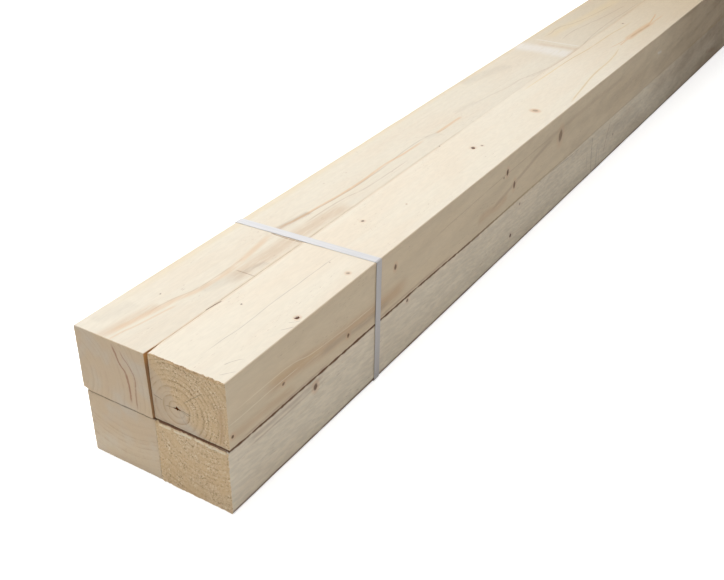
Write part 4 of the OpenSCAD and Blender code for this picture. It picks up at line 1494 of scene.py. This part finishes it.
def matt_floor(settings):
    """Matt white studio floor, brightened for the camera alone so that it reads as the white background."""
    material = bpy.data.materials.new("matt_white_floor")
    material.use_nodes = True
    tree = material.node_tree
    tree.nodes.clear()
    paint = add(tree, "BsdfDiffuse", {"Color": opaque(settings.floor_colour)})
    seen = add(tree, "LightPath").outputs["Is Camera Ray"]
    level = add(tree, "Math", {0: seen, 1: settings.floor_glow}, operation="MULTIPLY")
    glow = add(tree, "Emission", {"Color": (1, 1, 1, 1), "Strength": level})
    both = add(tree, "AddShader", {0: paint, 1: glow})
    add(tree, "OutputMaterial", {"Surface": both})
    return material


def studio_world(scene, settings):
    """Even room light, with white behind everything that the camera sees and in what the tops reflect."""
    world = bpy.data.worlds.new("studio")
    scene.world = world
    world.use_nodes = True
    tree = world.node_tree
    tree.nodes.clear()
    path = add(tree, "LightPath")
    seen = add(tree, "Math", {0: path.outputs["Is Camera Ray"], 1: path.outputs["Is Glossy Ray"]},
               operation="MAXIMUM")
    level = add(tree, "MapRange", {0: seen, 3: settings.room_light, 4: 1.0})
    sky = add(tree, "Background", {"Color": (1, 1, 1, 1), "Strength": level})
    add(tree, "OutputWorld", {"Surface": sky})


# The softboxes' places, the places that they look at and their sides. Their powers are settings
SOFTBOXES = {
    "top_light": ((-1.05, 0.3, 2.1), (-0.9, 0, 0), 1.6),
    "key_light": ((-1.6, 0.6, 1.6), (-1.2, 0, 0), 1.2),
    "front_fill": ((-3.0, -0.6, 0.3), (-1.5, 0, 0.04), 0.7),
    "right_fill": ((-1.45, -1.6, 0.35), (-0.9, -0.05, 0.06), 0.9),
    "left_fill": ((-0.6, 1.6, 0.9), (-0.5, 0, 0.06), 1.2),
    "end_fill": ((3.2, -0.3, 0.9), (1.4, 0, 0.06), 1.2),
}
# The camera's sensor in millimetres, and how far the floor reaches from the middle in metres
SENSOR_WIDTH = 36
FLOOR_REACH = 12.0


class PINE_OT_stage(bpy.types.Operator):
    """Sets the camera, the floor and the light"""

    bl_idname = "pine.stage"
    bl_label = "Stage"

    def execute(self, context):
        scene = context.scene
        settings = scene.pine_stage
        scene.view_settings.view_transform = "Standard"
        lens = bpy.data.cameras.new("camera")
        lens.lens = settings.lens
        lens.sensor_width = SENSOR_WIDTH
        camera = bpy.data.objects.new("camera", lens)
        camera.location = settings.camera_place
        camera.rotation_euler = settings.camera_turn
        scene.collection.objects.link(camera)
        scene.camera = camera
        mesh = bpy.data.meshes.new("floor")
        corners = [(x * FLOOR_REACH, y * FLOOR_REACH, 0) for x, y in ((-1, -1), (1, -1), (1, 1), (-1, 1))]
        mesh.from_pydata(corners, [], [(0, 1, 2, 3)])
        mesh.materials.append(matt_floor(settings))
        floor = bpy.data.objects.new("floor", mesh)
        scene.collection.objects.link(floor)
        for name, (place, target, side) in SOFTBOXES.items():
            softbox(scene, name, place, target, side, getattr(settings, name))
        studio_world(scene, settings)
        return {"FINISHED"}


class PINE_PT_bundle(bpy.types.Panel):
    """Lists the steps that dress the bundle"""

    bl_idname = "PINE_PT_bundle"
    bl_label = "Pine studs"
    bl_space_type = "VIEW_3D"
    bl_region_type = "UI"
    bl_category = "Pine studs"

    def draw(self, context):
        for step in STEPS:
            self.layout.operator(step.bl_idname)


STEPS = (PINE_OT_stage, PINE_OT_studs, PINE_OT_straps)
GROUPS = {"pine_studs": StudSettings, "pine_straps": StrapSettings, "pine_stage": StageSettings}


def register():
    for group in GROUPS.values():
        bpy.utils.register_class(group)
    for name, group in GROUPS.items():
        setattr(bpy.types.Scene, name, bpy.props.PointerProperty(type=group))
    for step in (*STEPS, PINE_PT_bundle):
        bpy.utils.register_class(step)


def unregister():
    for step in (PINE_PT_bundle, *reversed(STEPS)):
        bpy.utils.unregister_class(step)
    for name in GROUPS:
        delattr(bpy.types.Scene, name)
    for group in GROUPS.values():
        bpy.utils.unregister_class(group)


def main():
    register()
    bpy.ops.pine.stage()
    bpy.ops.pine.studs()
    bpy.ops.pine.straps()


if __name__ == "__main__":
    main()
